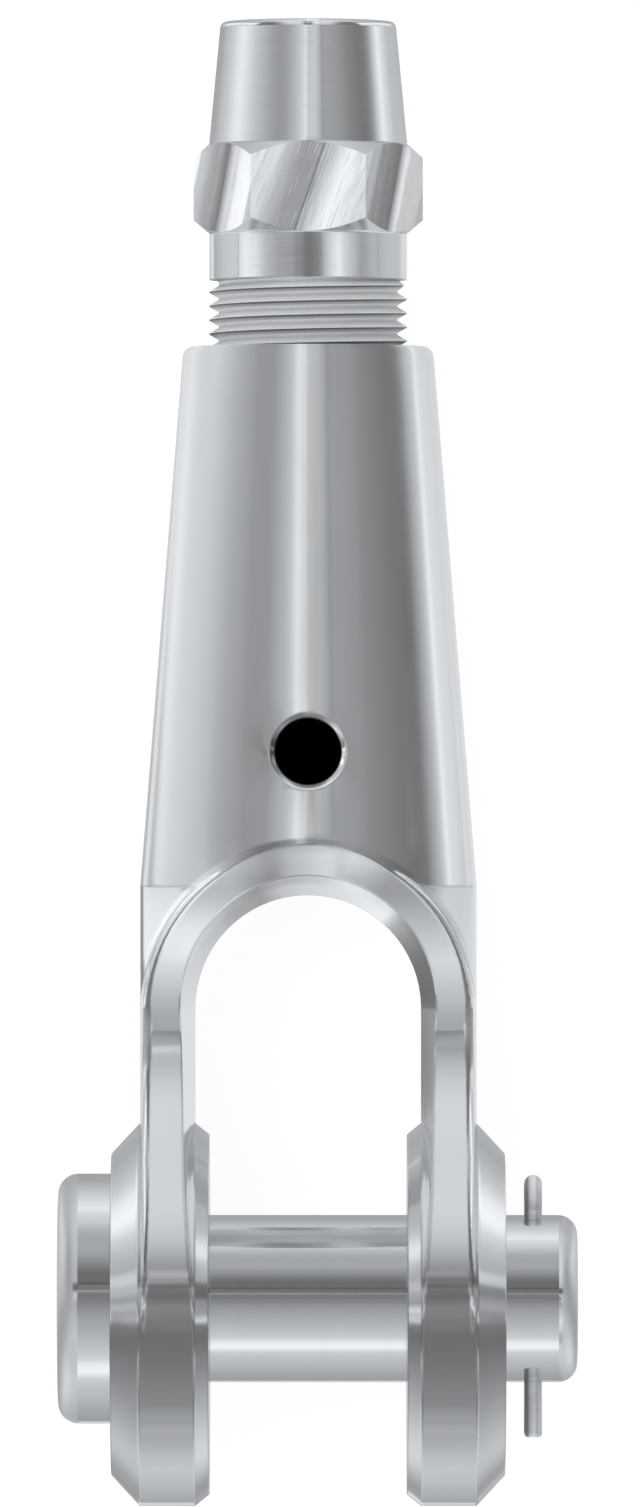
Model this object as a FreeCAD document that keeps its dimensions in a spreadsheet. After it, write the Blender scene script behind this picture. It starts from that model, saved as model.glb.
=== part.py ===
import FreeCAD, Part
import Sketcher
import math
import os

# A forged clevis socket for wire rope: body with fork and ears, hex sleeve, wedge plug, clevis pin
# and split pin. Each piece is drawn upright, with the rope's axis along Z, the pin's axis along X
# and the front towards -Y, and is then laid on its back. The origin is the middle of the pin.

doc = FreeCAD.newDocument("clevis_socket")
sheet = doc.addObject("Spreadsheet::Sheet", "Sizes")

# Driving dimensions in millimetres and degrees
SIZES = [
    ("pin_diameter", 25.4),
    ("pin_clearance", 0.15),
    ("pin_end_length", 11.0),
    ("pin_end_round", 2.9),
    ("pin_head_diameter", 38.0),
    ("pin_head_thickness", 8.0),
    ("pin_head_round", 3.1),
    ("pin_head_gap", 0.1),
    ("cotter_diameter", 2.7),
    ("cotter_hole_clearance", 0.2),
    ("cotter_inset", 6.7),
    ("cotter_leg_gap", 0.1),
    ("cotter_eye_radius", 1.45),
    ("cotter_eye_rise", 3.3),
    ("cotter_neck_radius", 1.8),
    ("cotter_bend_start", 0.8),
    ("cotter_bend_radius", 5.0),
    ("cotter_bend_angle", 24.0),
    ("cotter_tip_length", 5.2),
    ("jaw_gap", 30.0),
    ("ear_thickness", 14.9),
    ("ear_radius", 29.1),
    ("ear_drop", 2.4),
    ("ear_outer_bevel", 4.65),
    ("ear_inner_bevel", 1.75),
    ("fork_width", 51.2),
    ("fork_gap", 34.3),
    ("arch_height", 44.2),
    ("slot_draft", 8.1),
    ("side_draft", 2.4),
    ("crown_draft", 1.8),
    ("leg_round", 1.3),
    ("crown_round", 0.4),
    ("foot_round", 0.8),
    ("waist_height", 41.0),
    ("waist_depth", 15.5),
    ("shoulder_height", 69.0),
    ("shoulder_depth", 25.0),
    ("flank_radius", 36.0),
    ("flank_fade", 5.0),
    ("flank_lean", 3.0),
    ("cone_foot_height", 62.8),
    ("barrel_top_height", 144.8),
    ("barrel_top_diameter", 37.96),
    ("barrel_top_round", 1.7),
    ("thread_diameter", 30.16),
    ("thread_clearance", 0.1),
    ("thread_depth", 46.0),
    ("mouth_chamfer", 0.8),
    ("chamber_diameter", 25.0),
    ("chamber_floor_height", 78.0),
    ("drill_point_angle", 59.0),
    ("sight_hole_diameter", 10.0),
    ("sight_hole_height", 83.2),
    ("sight_hole_chamfer", 0.8),
    ("thread_shown", 10.1),
    ("thread_engaged", 24.0),
    ("collar_length", 7.1),
    ("collar_diameter", 30.06),
    ("hex_width", 30.2),
    ("hex_length", 13.5),
    ("hex_chamfer_length", 2.0),
    ("nose_length", 18.7),
    ("nose_foot_diameter", 30.12),
    ("nose_tip_diameter", 26.6),
    ("nose_round", 1.0),
    ("sleeve_end_chamfer", 1.2),
    ("rope_bore_diameter", 14.0),
    ("rope_bore_chamfer", 0.8),
    ("taper_angle", 6.5),
    ("taper_mouth_diameter", 23.0),
    ("plug_length", 38.0),
    ("plug_large_diameter", 15.0),
    ("plug_reach", 2.0),
    ("plug_rest_gap", 0.3),
    ("plug_core_diameter", 4.4),
    ("plug_edge_chamfer", 0.6),
    ("flute_radius", 2.1),
    ("flute_depth", 0.8),
    ("flute_count", 6),
]
for row, (name, number) in enumerate(SIZES, start=1):
    sheet.set("A%d" % row, name)
    sheet.set("B%d" % row, str(number))
    sheet.setAlias("B%d" % row, name)
doc.recompute()


def size(text):
    """An expression text with each size's name pointed at its cell."""
    for name, number in sorted(SIZES, key=lambda entry: -len(entry[0])):
        text = text.replace("{%s}" % name, "Sizes.%s" % name)
    return "(%s)" % text


def number_of(text):
    """The number that an expression comes to with the present sizes."""
    result = sheet.evalExpression(text)
    return float(getattr(result, "Value", result))


def origin_feature(body, role):
    for feature in body.Origin.OriginFeatures:
        if feature.Role == role:
            return feature
    raise ValueError("no origin feature " + role)


def new_body(label):
    """An empty body under its own name, laid on its back: the front, -Y, ends up on top."""
    body = doc.addObject("PartDesign::Body", label)
    body.Label = label
    body.Placement = FreeCAD.Placement(
        FreeCAD.Vector(0, 0, 0), FreeCAD.Rotation(FreeCAD.Vector(1, 0, 0), -90)
    )
    return body


def new_sketch(body, name, role, offsets=None):
    """A sketch on one of the body's origin planes, moved by expressions along its own axes."""
    sketch = body.newObject("Sketcher::SketchObject", name)
    sketch.AttachmentSupport = [(origin_feature(body, role), "")]
    sketch.MapMode = "FlatFace"
    for axis, text in (offsets or {}).items():
        sketch.setExpression("AttachmentOffset.Base." + axis, text)
    doc.recompute()
    return sketch


def pin_down(sketch, geometry, end, x, y):
    """Holds one point of a sketch at two expressions. A plain 0 puts it on the axis instead."""
    for kind, text, axis in (("DistanceX", x, -2), ("DistanceY", y, -1)):
        if text == "0":
            sketch.addConstraint(Sketcher.Constraint("PointOnObject", geometry, end, axis))
            continue
        place = Sketcher.Constraint(kind, -1, 1, geometry, end, number_of(text))
        index = sketch.addConstraint(place)
        sketch.setExpression("Constraints[%d]" % index, text)


def arc_between(start, finish, centre, turn):
    """The arc of a circle from start to finish round centre, turning left or right."""
    radius = math.dist(start, centre)
    angles = [math.atan2(p[1] - centre[1], p[0] - centre[0]) for p in (start, finish)]
    if turn == "right":
        angles.reverse()
    if angles[1] <= angles[0]:
        angles[1] += 2 * math.pi
    middle = FreeCAD.Vector(centre[0], centre[1], 0)
    circle = Part.Circle(middle, FreeCAD.Vector(0, 0, 1), radius)
    return Part.ArcOfCircle(circle, angles[0], angles[1])


def draw(sketch, corners, closed=True):
    """Draws a chain of edges through corners, each (x, y) in expressions. A corner may go on with
    the centre (x, y) and the turn, left or right, of the arc that leads to the next corner."""
    texts = [[item if item == "0" else size(item) for item in corner[:2]] for corner in corners]
    points = [[number_of(item) for item in pair] for pair in texts]
    count = len(corners) if closed else len(corners) - 1
    first = sketch.GeometryCount
    ends = []
    for step in range(count):
        start, finish = points[step], points[(step + 1) % len(points)]
        corner = corners[step]
        if len(corner) == 2:
            line = Part.LineSegment(FreeCAD.Vector(*start, 0), FreeCAD.Vector(*finish, 0))
            sketch.addGeometry(line)
            ends.append((1, 2))
            continue
        centre = [0.0 if item == "0" else number_of(size(item)) for item in corner[2:4]]
        sketch.addGeometry(arc_between(start, finish, centre, corner[4]))
        ends.append((1, 2) if corner[4] == "left" else (2, 1))
    for step in range(count):
        edge = first + step
        pin_down(sketch, edge, ends[step][0], *texts[step])
        corner = corners[step]
        if len(corner) > 2:
            hold_centre(sketch, edge, points[step], points[(step + 1) % len(points)], corner)
        if step + 1 < count or closed:
            after = (step + 1) % count
            join = Sketcher.Constraint(
                "Coincident", edge, ends[step][1], first + after, ends[after][0]
            )
            sketch.addConstraint(join)
        else:
            pin_down(sketch, edge, ends[step][1], *texts[step + 1])


def hold_centre(sketch, edge, start, finish, corner):
    """Holds an arc's centre across its chord, which is the one freedom that its ends leave."""
    across = abs(finish[0] - start[0]) > abs(finish[1] - start[1])
    text, kind, axis = (corner[3], "DistanceY", -1) if across else (corner[2], "DistanceX", -2)
    if text == "0":
        sketch.addConstraint(Sketcher.Constraint("PointOnObject", edge, 3, axis))
        return
    place = Sketcher.Constraint(kind, -1, 1, edge, 3, number_of(size(text)))
    index = sketch.addConstraint(place)
    sketch.setExpression("Constraints[%d]" % index, size(text))


def draw_circle(sketch, x, y, radius):
    """Draws a whole circle with its centre and radius in expressions."""
    texts = [item if item == "0" else size(item) for item in (x, y)]
    middle = [0.0 if item == "0" else number_of(item) for item in texts]
    reach = number_of(size(radius))
    circle = Part.Circle(FreeCAD.Vector(*middle, 0), FreeCAD.Vector(0, 0, 1), reach)
    edge = sketch.addGeometry(circle)
    pin_down(sketch, edge, 3, *texts)
    index = sketch.addConstraint(Sketcher.Constraint("Radius", edge, reach))
    sketch.setExpression("Constraints[%d]" % index, size(radius))


def settled(feature):
    """Recomputes a new feature, with its faces left unjoined where joining them breaks it."""
    doc.recompute()
    if not feature.Shape.isValid():
        feature.Refine = False
        doc.recompute()
    return feature


def revolve(body, name, sketch, axis, kind="Revolution"):
    """Turns a sketch all the way round one of its own axes, to add or to cut."""
    feature = body.newObject("PartDesign::" + kind, name)
    feature.Profile = sketch
    feature.ReferenceAxis = (sketch, [axis])
    feature.Angle = 360
    doc.recompute()
    return feature


def pocket(body, name, sketch, both_ways=False, reverse=False, length=None):
    """Cuts a sketch through the body, both ways, one way or to a length."""
    feature = body.newObject("PartDesign::Pocket", name)
    feature.Profile = sketch
    feature.Type = "Length" if length else "ThroughAll"
    feature.Midplane = both_ways
    feature.Reversed = reverse
    if length:
        feature.setExpression("Length", size(length))
    return settled(feature)


def loft(body, name, sketches, kind):
    """Straight-sided loft through sketches that have as many edges each."""
    feature = body.newObject("PartDesign::" + kind, name)
    feature.Profile = sketches[0]
    feature.Sections = sketches[1:]
    feature.Ruled = True
    return settled(feature)


def rounded_end(radius, height, round_size, slope):
    """Corner where a cone, widening at slope away from its end, is rounded into the end's face:
    the arc's start on the face, its centre, and its finish on the cone, as expressions."""
    centre = "%s + %s * (tan(%s) - 1 / cos(%s))" % (radius, round_size, slope, slope)
    level = "%s - %s" % (height, round_size)
    face = (centre, height)
    cone = (
        "%s + %s * cos(%s)" % (centre, round_size, slope),
        "%s + %s * sin(%s)" % (level, round_size, slope),
    )
    return face, (centre, level), cone


# Places that more than one piece needs, as expressions
FORK_HALF = "{fork_width} / 2"
SLOT_HALF = "{fork_gap} / 2"
EAR_INNER = "{jaw_gap} / 2"
EAR_OUTER = "({jaw_gap} / 2 + {ear_thickness})"
EAR_LEVEL = "-{ear_drop}"
YOKE_DEPTH = "({ear_radius} + 4)"
FOOT_LEVEL = "(-{ear_drop} - {ear_radius} / 5)"
COLLAR_LEVEL = "({barrel_top_height} + {thread_shown})"
SLEEVE_END = "({barrel_top_height} - {thread_engaged})"
HEX_LEVEL = "(%s + {collar_length})" % COLLAR_LEVEL
NOSE_LEVEL = "(%s + {hex_length})" % HEX_LEVEL
SLEEVE_TOP = "(%s + {nose_length})" % NOSE_LEVEL
COTTER_PLACE = "(%s + {pin_end_length} - {cotter_inset})" % EAR_OUTER


def add_barrel(body):
    """Round bar of the fork, the cone above it, and the rounded rim of its mouth."""
    rise = "({barrel_top_height} - {cone_foot_height})"
    slope = "atan((%s - {barrel_top_diameter} / 2) / %s)" % (FORK_HALF, rise)
    face, centre, cone = rounded_end(
        "{barrel_top_diameter} / 2", "{barrel_top_height}", "{barrel_top_round}", slope
    )
    sketch = new_sketch(body, "barrel_outline", "XZ_Plane")
    draw(
        sketch,
        [
            ("0", FOOT_LEVEL),
            (FORK_HALF, FOOT_LEVEL),
            (FORK_HALF, "{cone_foot_height}"),
            (*cone, *centre, "left"),
            face,
            ("0", "{barrel_top_height}"),
        ],
    )
    revolve(body, "barrel", sketch, "V_Axis")


def yoke_section(body, name, depth, back):
    """Outline of the fork's outside at one depth from the middle: two legs under a crown. It draws
    in with depth, at side_draft on its sides and crown_draft on its top."""
    offset = "%s * %s" % (size(depth), "-1" if back else "1") if depth != "0" else "0"
    sketch = new_sketch(body, name, "XZ_Plane", {"z": offset} if depth != "0" else None)
    radius = "(%s - %s * tan({side_draft}))" % (FORK_HALF, depth)
    crown = "({arch_height} + %s - %s * tan({crown_draft}))" % (FORK_HALF, depth)
    middle = "(%s - %s)" % (crown, radius)
    draw(
        sketch,
        [
            ("-" + FORK_HALF, FOOT_LEVEL),
            (FORK_HALF, FOOT_LEVEL),
            (radius, middle, "0", middle, "left"),
            ("-" + radius, middle),
        ],
    )
    return sketch


def slot_section(body, name, depth, back):
    """Outline of the jaw's slot at one depth: straight at the ears, wider with depth above them."""
    offset = "%s * %s" % (size(depth), "-1" if back else "1") if depth != "0" else "0"
    sketch = new_sketch(body, name, "XZ_Plane", {"z": offset} if depth != "0" else None)
    radius = "(%s + %s * tan({slot_draft}))" % (SLOT_HALF, depth)
    below = "(%s - {ear_radius})" % FOOT_LEVEL
    draw(
        sketch,
        [
            ("-" + SLOT_HALF, below),
            (SLOT_HALF, below),
            (SLOT_HALF, EAR_LEVEL),
            (radius, "{arch_height}", "0", "{arch_height}", "left"),
            ("-" + radius, "{arch_height}"),
            ("-" + SLOT_HALF, EAR_LEVEL),
        ],
    )
    return sketch


def waist_outline(sketch, side):
    """Waste in front of or behind the fork, seen from its side. The fork narrows in a hollow from
    its shoulder to its waist, swells to its flank, and fades into the ear's rim."""
    flank_y = "({ear_radius} * cos({flank_fade}) - {flank_radius} * cos({flank_fade} + {flank_lean}))"
    flank_z = (
        "(-{ear_drop} - {ear_radius} * sin({flank_fade})"
        " + {flank_radius} * sin({flank_fade} + {flank_lean}))"
    )
    run = "({waist_depth} - %s)" % flank_y
    rise = "({waist_height} - %s)" % flank_z
    lower = "((%s^2 + %s^2 - {flank_radius}^2) / (2 * ({flank_radius} - %s)))" % (run, rise, run)
    share = "({flank_radius} / ({flank_radius} + %s))" % lower
    meet_y = "(%s + %s * (%s + %s))" % (flank_y, share, run, lower)
    meet_z = "(%s + %s * %s)" % (flank_z, share, rise)
    step = "({shoulder_depth} - {waist_depth})"
    climb = "({shoulder_height} - {waist_height})"
    upper = "((%s^2 + %s^2) / (2 * %s))" % (step, climb, step)
    clear = "(%s + 1)" % YOKE_DEPTH
    top = "({waist_height} + sqrt(%s^2 - (%s - (%s - {waist_depth}))^2))" % (upper, upper, clear)
    end_z = "(%s - 2)" % FOOT_LEVEL
    end_y = "(%s + sqrt({flank_radius}^2 - (%s - %s)^2))" % (flank_y, end_z, flank_z)
    turn = "left" if side == "" else "right"
    other = "right" if side == "" else "left"
    draw(
        sketch,
        [
            (side + end_y, end_z, side + flank_y, flank_z, turn),
            (side + meet_y, meet_z, side + "({waist_depth} + %s)" % lower, "{waist_height}", other),
            (side + "{waist_depth}", "{waist_height}", side + "({waist_depth} + %s)" % upper,
             "{waist_height}", other),
            (side + clear, top),
            (side + "(%s + 1)" % clear, top),
            (side + "(%s + 1)" % clear, end_z),
        ],
    )


def ear_outline(sketch, side):
    """Half of one ear's section: its rim is as wide as the fork's arm, and bevelled to each face."""
    draw(
        sketch,
        [
            (side + EAR_INNER, "0"),
            (side + EAR_INNER, "{ear_radius} - {ear_inner_bevel}"),
            (side + SLOT_HALF, "{ear_radius}"),
            (side + FORK_HALF, "{ear_radius}"),
            (side + EAR_OUTER, "{ear_radius} - {ear_outer_bevel}"),
            (side + EAR_OUTER, "0"),
        ],
    )


def add_fork(body):
    """Fork without its ears: crowned yoke, hollow waist and drafted slot."""
    outside = [
        yoke_section(body, "yoke_front", YOKE_DEPTH, False),
        yoke_section(body, "yoke_middle", "0", False),
        yoke_section(body, "yoke_back", YOKE_DEPTH, True),
    ]
    loft(body, "yoke", outside, "AdditiveLoft")
    waist = new_sketch(body, "waist_outline", "YZ_Plane")
    waist_outline(waist, "")
    waist_outline(waist, "-")
    pocket(body, "waist", waist, both_ways=True)
    inside = [
        slot_section(body, "slot_front", YOKE_DEPTH, False),
        slot_section(body, "slot_middle", "0", False),
        slot_section(body, "slot_back", YOKE_DEPTH, True),
    ]
    body.Tip = loft(body, "slot", inside, "SubtractiveLoft")


def outer_edges(shape):
    """Numbers and end points of the edges along the outside of the fork's front and back."""
    arch = number_of(size("{arch_height}"))
    middle = number_of(size("({fork_width} + {fork_gap}) / 4"))
    chosen = []
    for index, edge in enumerate(shape.Edges, start=1):
        faces = [face.Surface for face in shape.ancestorsOfType(edge, Part.Face)]
        hollow = [isinstance(face, Part.Cylinder) and abs(face.Axis.x) > 0.99 for face in faces]
        drafted = [isinstance(face, (Part.BSplineSurface, Part.BezierSurface)) for face in faces]
        half_way = edge.valueAt((edge.FirstParameter + edge.LastParameter) / 2)
        reach = math.hypot(half_way.x, max(half_way.z - arch, 0))
        if any(hollow) and any(drafted) and reach > middle:
            ends = (edge.valueAt(edge.FirstParameter), edge.valueAt(edge.LastParameter))
            chosen.append((index, ends))
    return chosen


def outer_rounding(shape, share):
    """The outer edges, each with the radius of its rounding at its two ends: full along the legs,
    fading up the crown and down into the ear, and the same for both edges that meet in a point."""
    edges = outer_edges(shape)
    arch, low = number_of(size("{arch_height}")), number_of(size(FOOT_LEVEL))
    leg, crown, foot = [number_of(size("{%s_round}" % name)) for name in ("leg", "crown", "foot")]
    top = max(end.z for index, ends in edges for end in ends)
    chosen = []
    for index, ends in edges:
        radii = []
        for end in ends:
            fade = max(0.0, (end.z - arch - leg) / (top - arch - leg))
            radius = foot if end.z < low + leg else leg + fade * (crown - leg)
            radii.append(radius * share)
        chosen.append((index, *radii))
    return chosen


def rounded_fork(blank):
    """The fork with its outer edges rounded, less where changed sizes leave no room for it."""
    rounded = doc.addObject("Part::Fillet", "fork_rounded")
    rounded.Base = blank
    for share in (1.0, 0.8, 0.6, 0.4, 0.2):
        rounded.Edges = outer_rounding(blank.Shape, share)
        doc.recompute()
        shape = rounded.Shape
        if "Invalid" not in rounded.State and shape.isValid() and len(shape.Solids) == 1:
            return rounded
    doc.removeObject(rounded.Name)
    return blank


def add_ears(body):
    """Two round ears, bevelled on both faces, and the bore for the pin through both."""
    ears = new_sketch(body, "ear_outlines", "XZ_Plane", {"y": size(EAR_LEVEL)})
    ear_outline(ears, "")
    ear_outline(ears, "-")
    revolve(body, "ears", ears, "H_Axis")
    bore = new_sketch(body, "pin_bore_outline", "YZ_Plane")
    draw_circle(bore, "0", "0", "{pin_diameter} / 2 + {pin_clearance}")
    pocket(body, "pin_bore", bore, both_ways=True)


def add_cavity(body):
    """Threaded mouth, plain chamber below it with the drill's point, and the sight hole."""
    bore = "({thread_diameter} / 2 + {thread_clearance})"
    chamber = "({chamber_diameter} / 2)"
    thread_foot = "({barrel_top_height} - {thread_depth})"
    tip = "({chamber_floor_height} - %s / tan({drill_point_angle}))" % chamber
    above = "({barrel_top_height} + 1)"
    sketch = new_sketch(body, "cavity_outline", "XZ_Plane")
    draw(
        sketch,
        [
            ("0", tip),
            (chamber, "{chamber_floor_height}"),
            (chamber, "%s - (%s - %s)" % (thread_foot, bore, chamber)),
            (bore, thread_foot),
            (bore, "{barrel_top_height} - {mouth_chamfer}"),
            ("(%s + {mouth_chamfer})" % bore, "{barrel_top_height}"),
            ("(%s + {mouth_chamfer})" % bore, above),
            ("0", above),
        ],
    )
    revolve(body, "cavity", sketch, "V_Axis", "Groove")
    hole = new_sketch(body, "sight_hole_outline", "XZ_Plane")
    draw_circle(hole, "0", "{sight_hole_height}", "{sight_hole_diameter} / 2")
    cut = pocket(body, "sight_hole", hole, reverse=True)
    radius = number_of(size("{sight_hole_diameter} / 2"))
    rims = rim_edges(cut.Shape, radius, number_of(size("{sight_hole_height}")))
    chamfer = body.newObject("PartDesign::Chamfer", "sight_hole_chamfer")
    chamfer.Base = (cut, rims)
    chamfer.setExpression("Size", size("{sight_hole_chamfer}"))
    doc.recompute()
    body.Tip = chamfer


def rim_edges(shape, radius, height):
    """Names of the edges where the sight hole breaks through the front of the barrel."""
    names = []
    for index, edge in enumerate(shape.Edges, start=1):
        box = edge.BoundBox
        across = abs(box.XLength - 2 * radius) < 0.01 and abs(box.ZLength - 2 * radius) < 0.01
        if across and abs(box.Center.z - height) < 0.01 and box.YMin < -radius:
            names.append((box.YMin, "Edge%d" % index))
    return [min(names)[1]]


def make_clevis_socket():
    """Forged body in one piece: its fork is blanked out and rounded before the ears are added."""
    blank = doc.addObject("PartDesign::Body", "fork_blank")
    add_barrel(blank)
    add_fork(blank)
    body = new_body("clevis_socket")
    body.BaseFeature = rounded_fork(blank)
    add_ears(body)
    add_cavity(body)
    return body


def make_sleeve():
    """Nose, hexagon, collar and threaded shank in one turned piece, with the rope's tapered bore."""
    body = new_body("sleeve")
    thread = "({thread_diameter} / 2)"
    collar = "({collar_diameter} / 2)"
    corner = "({hex_width} / 2 / cos(30))"
    flat = "({hex_width} / 2)"
    slope = "atan(({nose_foot_diameter} - {nose_tip_diameter}) / 2 / {nose_length})"
    face, centre, cone = rounded_end("{nose_tip_diameter} / 2", SLEEVE_TOP, "{nose_round}", slope)
    sketch = new_sketch(body, "sleeve_outline", "XZ_Plane")
    draw(
        sketch,
        [
            ("0", SLEEVE_END),
            (thread + " - {sleeve_end_chamfer}", SLEEVE_END),
            (thread, SLEEVE_END + " + {sleeve_end_chamfer}"),
            (thread, COLLAR_LEVEL),
            (collar, COLLAR_LEVEL),
            (collar, HEX_LEVEL),
            (flat, HEX_LEVEL),
            (corner, HEX_LEVEL + " + {hex_chamfer_length}"),
            (corner, NOSE_LEVEL + " - {hex_chamfer_length}"),
            (flat, NOSE_LEVEL),
            ("{nose_foot_diameter} / 2", NOSE_LEVEL),
            (*cone, *centre, "left"),
            face,
            ("0", SLEEVE_TOP),
        ],
    )
    revolve(body, "sleeve_blank", sketch, "V_Axis")
    flats = new_sketch(body, "hex_outline", "XY_Plane", {"z": size(HEX_LEVEL)})
    reach = "(%s + 3)" % corner
    hexagon = [
        (corner, "0"),
        (corner + " / 2", flat),
        ("-%s / 2" % corner, flat),
        ("-" + corner, "0"),
        ("-%s / 2" % corner, "-" + flat),
        (corner + " / 2", "-" + flat),
    ]
    draw(flats, hexagon)
    draw_circle(flats, "0", "0", reach)
    pocket(body, "hex_flats", flats, reverse=True, length="{hex_length}")
    bore = "({rope_bore_diameter} / 2)"
    mouth = "({taper_mouth_diameter} / 2)"
    taper_top = "(%s + (%s - %s) / tan({taper_angle}))" % (SLEEVE_END, mouth, bore)
    over = "(%s + 1)" % SLEEVE_TOP
    under = "(%s - 1)" % SLEEVE_END
    inside = new_sketch(body, "rope_bore_outline", "XZ_Plane")
    draw(
        inside,
        [
            ("0", under),
            (mouth, under),
            (mouth, SLEEVE_END),
            (bore, taper_top),
            (bore, "%s - {rope_bore_chamfer}" % SLEEVE_TOP),
            ("%s + {rope_bore_chamfer}" % bore, SLEEVE_TOP),
            ("%s + {rope_bore_chamfer}" % bore, over),
            ("0", over),
        ],
    )
    body.Tip = revolve(body, "rope_bore", inside, "V_Axis", "Groove")
    return body


def make_wedge_plug():
    """Fluted cone that spreads the strands. It lies loose on the low side of the sleeve's taper."""
    body = new_body("wedge_plug")
    large = "({plug_large_diameter} / 2)"
    small = "(%s - {plug_length} * tan({taper_angle}))" % large
    foot = "(%s - {plug_reach})" % SLEEVE_END
    top = "(%s + {plug_length})" % foot
    edge = "{plug_edge_chamfer}"
    sketch = new_sketch(body, "plug_outline", "XZ_Plane")
    draw(
        sketch,
        [
            ("{plug_core_diameter} / 2", foot),
            ("%s - %s" % (large, edge), foot),
            ("%s - %s * tan({taper_angle})" % (large, edge), "%s + %s" % (foot, edge)),
            (small, top),
            ("{plug_core_diameter} / 2", top),
        ],
    )
    revolve(body, "plug_cone", sketch, "V_Axis")
    sections = []
    for name, level, radius in (
        ("flute_foot", "%s - 1" % foot, "(%s + tan({taper_angle}))" % large),
        ("flute_top", "%s + 1" % top, "(%s - tan({taper_angle}))" % small),
    ):
        section = new_sketch(body, name, "XY_Plane", {"z": size(level)})
        draw_circle(section, "%s + {flute_radius} - {flute_depth}" % radius, "0", "{flute_radius}")
        sections.append(section)
    flute = loft(body, "flute", sections, "SubtractiveLoft")
    pattern = body.newObject("PartDesign::PolarPattern", "flutes")
    pattern.Originals = [flute]
    pattern.Axis = (origin_feature(body, "Z_Axis"), [""])
    pattern.Angle = 360
    pattern.setExpression("Occurrences", size("{flute_count}"))
    doc.recompute()
    body.Tip = pattern
    drop = "{taper_mouth_diameter} / 2 - %s + {plug_reach} * tan({taper_angle})" % large
    body.setExpression("Placement.Base.z", size("-(%s - {plug_rest_gap} / cos({taper_angle}))" % drop))
    return body


def make_clevis_pin():
    """Headed pin with a rounded end and a cross hole for the split pin."""
    body = new_body("clevis_pin")
    shank = "({pin_diameter} / 2)"
    head = "({pin_head_diameter} / 2)"
    seat = "(-%s - {pin_head_gap})" % EAR_OUTER
    back = "(%s - {pin_head_thickness})" % seat
    end = "(%s + {pin_end_length})" % EAR_OUTER
    sketch = new_sketch(body, "pin_outline", "XZ_Plane")
    draw(
        sketch,
        [
            (back, "0"),
            (back, "%s - {pin_head_round}" % head, "%s + {pin_head_round}" % back,
             "%s - {pin_head_round}" % head, "right"),
            ("%s + {pin_head_round}" % back, head),
            (seat, head),
            (seat, shank),
            ("%s - {pin_end_round}" % end, shank, "%s - {pin_end_round}" % end,
             "%s - {pin_end_round}" % shank, "right"),
            (end, "%s - {pin_end_round}" % shank),
            (end, "0"),
        ],
    )
    revolve(body, "pin_blank", sketch, "H_Axis")
    hole = new_sketch(body, "cotter_hole_outline", "XY_Plane")
    draw_circle(hole, COTTER_PLACE, "0", "{cotter_diameter} / 2 + {cotter_hole_clearance}")
    body.Tip = pocket(body, "cotter_hole", hole, both_ways=True)
    return body


def make_cotter_pin():
    """Split pin of half-round wire: an eye on top, two legs through the pin, their tips spread."""
    body = new_body("cotter_pin")
    wire = "({cotter_diameter} / 2)"
    leg = "({cotter_leg_gap} / 2)"
    surface = "({pin_diameter} / 2)"
    eye = "(%s + {cotter_eye_rise})" % surface
    side = "(%s + {cotter_neck_radius})" % leg
    sum_of = "({cotter_eye_radius} + {cotter_neck_radius})"
    neck = "(%s - sqrt(%s^2 - %s^2))" % (eye, sum_of, side)
    meet_y = "(%s * {cotter_eye_radius} / %s)" % (side, sum_of)
    meet_z = "(%s - (%s - %s) * {cotter_eye_radius} / %s)" % (eye, eye, neck, sum_of)
    bend = "(-%s - {cotter_bend_start})" % surface
    bend_y = "(%s + {cotter_bend_radius} * (1 - cos({cotter_bend_angle})))" % leg
    bend_z = "(%s - {cotter_bend_radius} * sin({cotter_bend_angle}))" % bend
    tip_y = "(%s + {cotter_tip_length} * sin({cotter_bend_angle}))" % bend_y
    tip_z = "(%s - {cotter_tip_length} * cos({cotter_bend_angle}))" % bend_z
    path = new_sketch(body, "wire_path", "YZ_Plane", {"z": size(COTTER_PLACE)})
    draw(
        path,
        [
            ("0", "%s + {cotter_eye_radius}" % eye, "0", eye, "right"),
            (meet_y, meet_z, side, neck, "left"),
            (leg, neck),
            (leg, bend, "(%s + {cotter_bend_radius})" % leg, bend, "left"),
            (bend_y, bend_z),
            (tip_y, tip_z),
        ],
        closed=False,
    )
    half_round = new_sketch(
        body,
        "wire_section",
        "XZ_Plane",
        {"x": size(COTTER_PLACE), "y": size("%s + {cotter_eye_radius}" % eye)},
    )
    draw(half_round, [(wire, "0", "0", "0", "left"), ("-" + wire, "0")])
    pipe = body.newObject("PartDesign::AdditivePipe", "front_leg")
    pipe.Profile = half_round
    pipe.Spine = (path, [])
    pipe.Mode = "Frenet"
    pipe.Transition = "Transformed"
    doc.recompute()
    mirror = body.newObject("PartDesign::Mirrored", "back_leg")
    mirror.Originals = [pipe]
    mirror.MirrorPlane = (origin_feature(body, "XZ_Plane"), [""])
    doc.recompute()
    body.Tip = mirror
    return body


def check(pieces):
    """Stops on a failed object, on an empty or invalid piece, and on one in more than one solid."""
    for item in doc.Objects:
        if {"Invalid", "Error"} & set(item.State):
            raise RuntimeError("%s failed: %s" % (item.Name, item.State))
    for piece in pieces:
        shape = piece.Shape
        if shape.isNull() or not shape.isValid() or len(shape.Solids) != 1:
            raise RuntimeError(piece.Label + " is not one valid solid")


pieces = [
    make_clevis_socket(),
    make_sleeve(),
    make_wedge_plug(),
    make_clevis_pin(),
    make_cotter_pin(),
]
doc.recompute()
check(pieces)
os.makedirs("parts", exist_ok=True)
for piece in pieces:
    piece.Shape.exportStep("parts/%s.step" % piece.Label)
    box = piece.Shape.BoundBox
    print(
        "%s: volume %.1f, from (%.2f, %.2f, %.2f) to (%.2f, %.2f, %.2f)"
        % (piece.Label, piece.Shape.Volume, box.XMin, box.YMin, box.ZMin, box.XMax, box.YMax, box.ZMax)
    )
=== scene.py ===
import math

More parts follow.
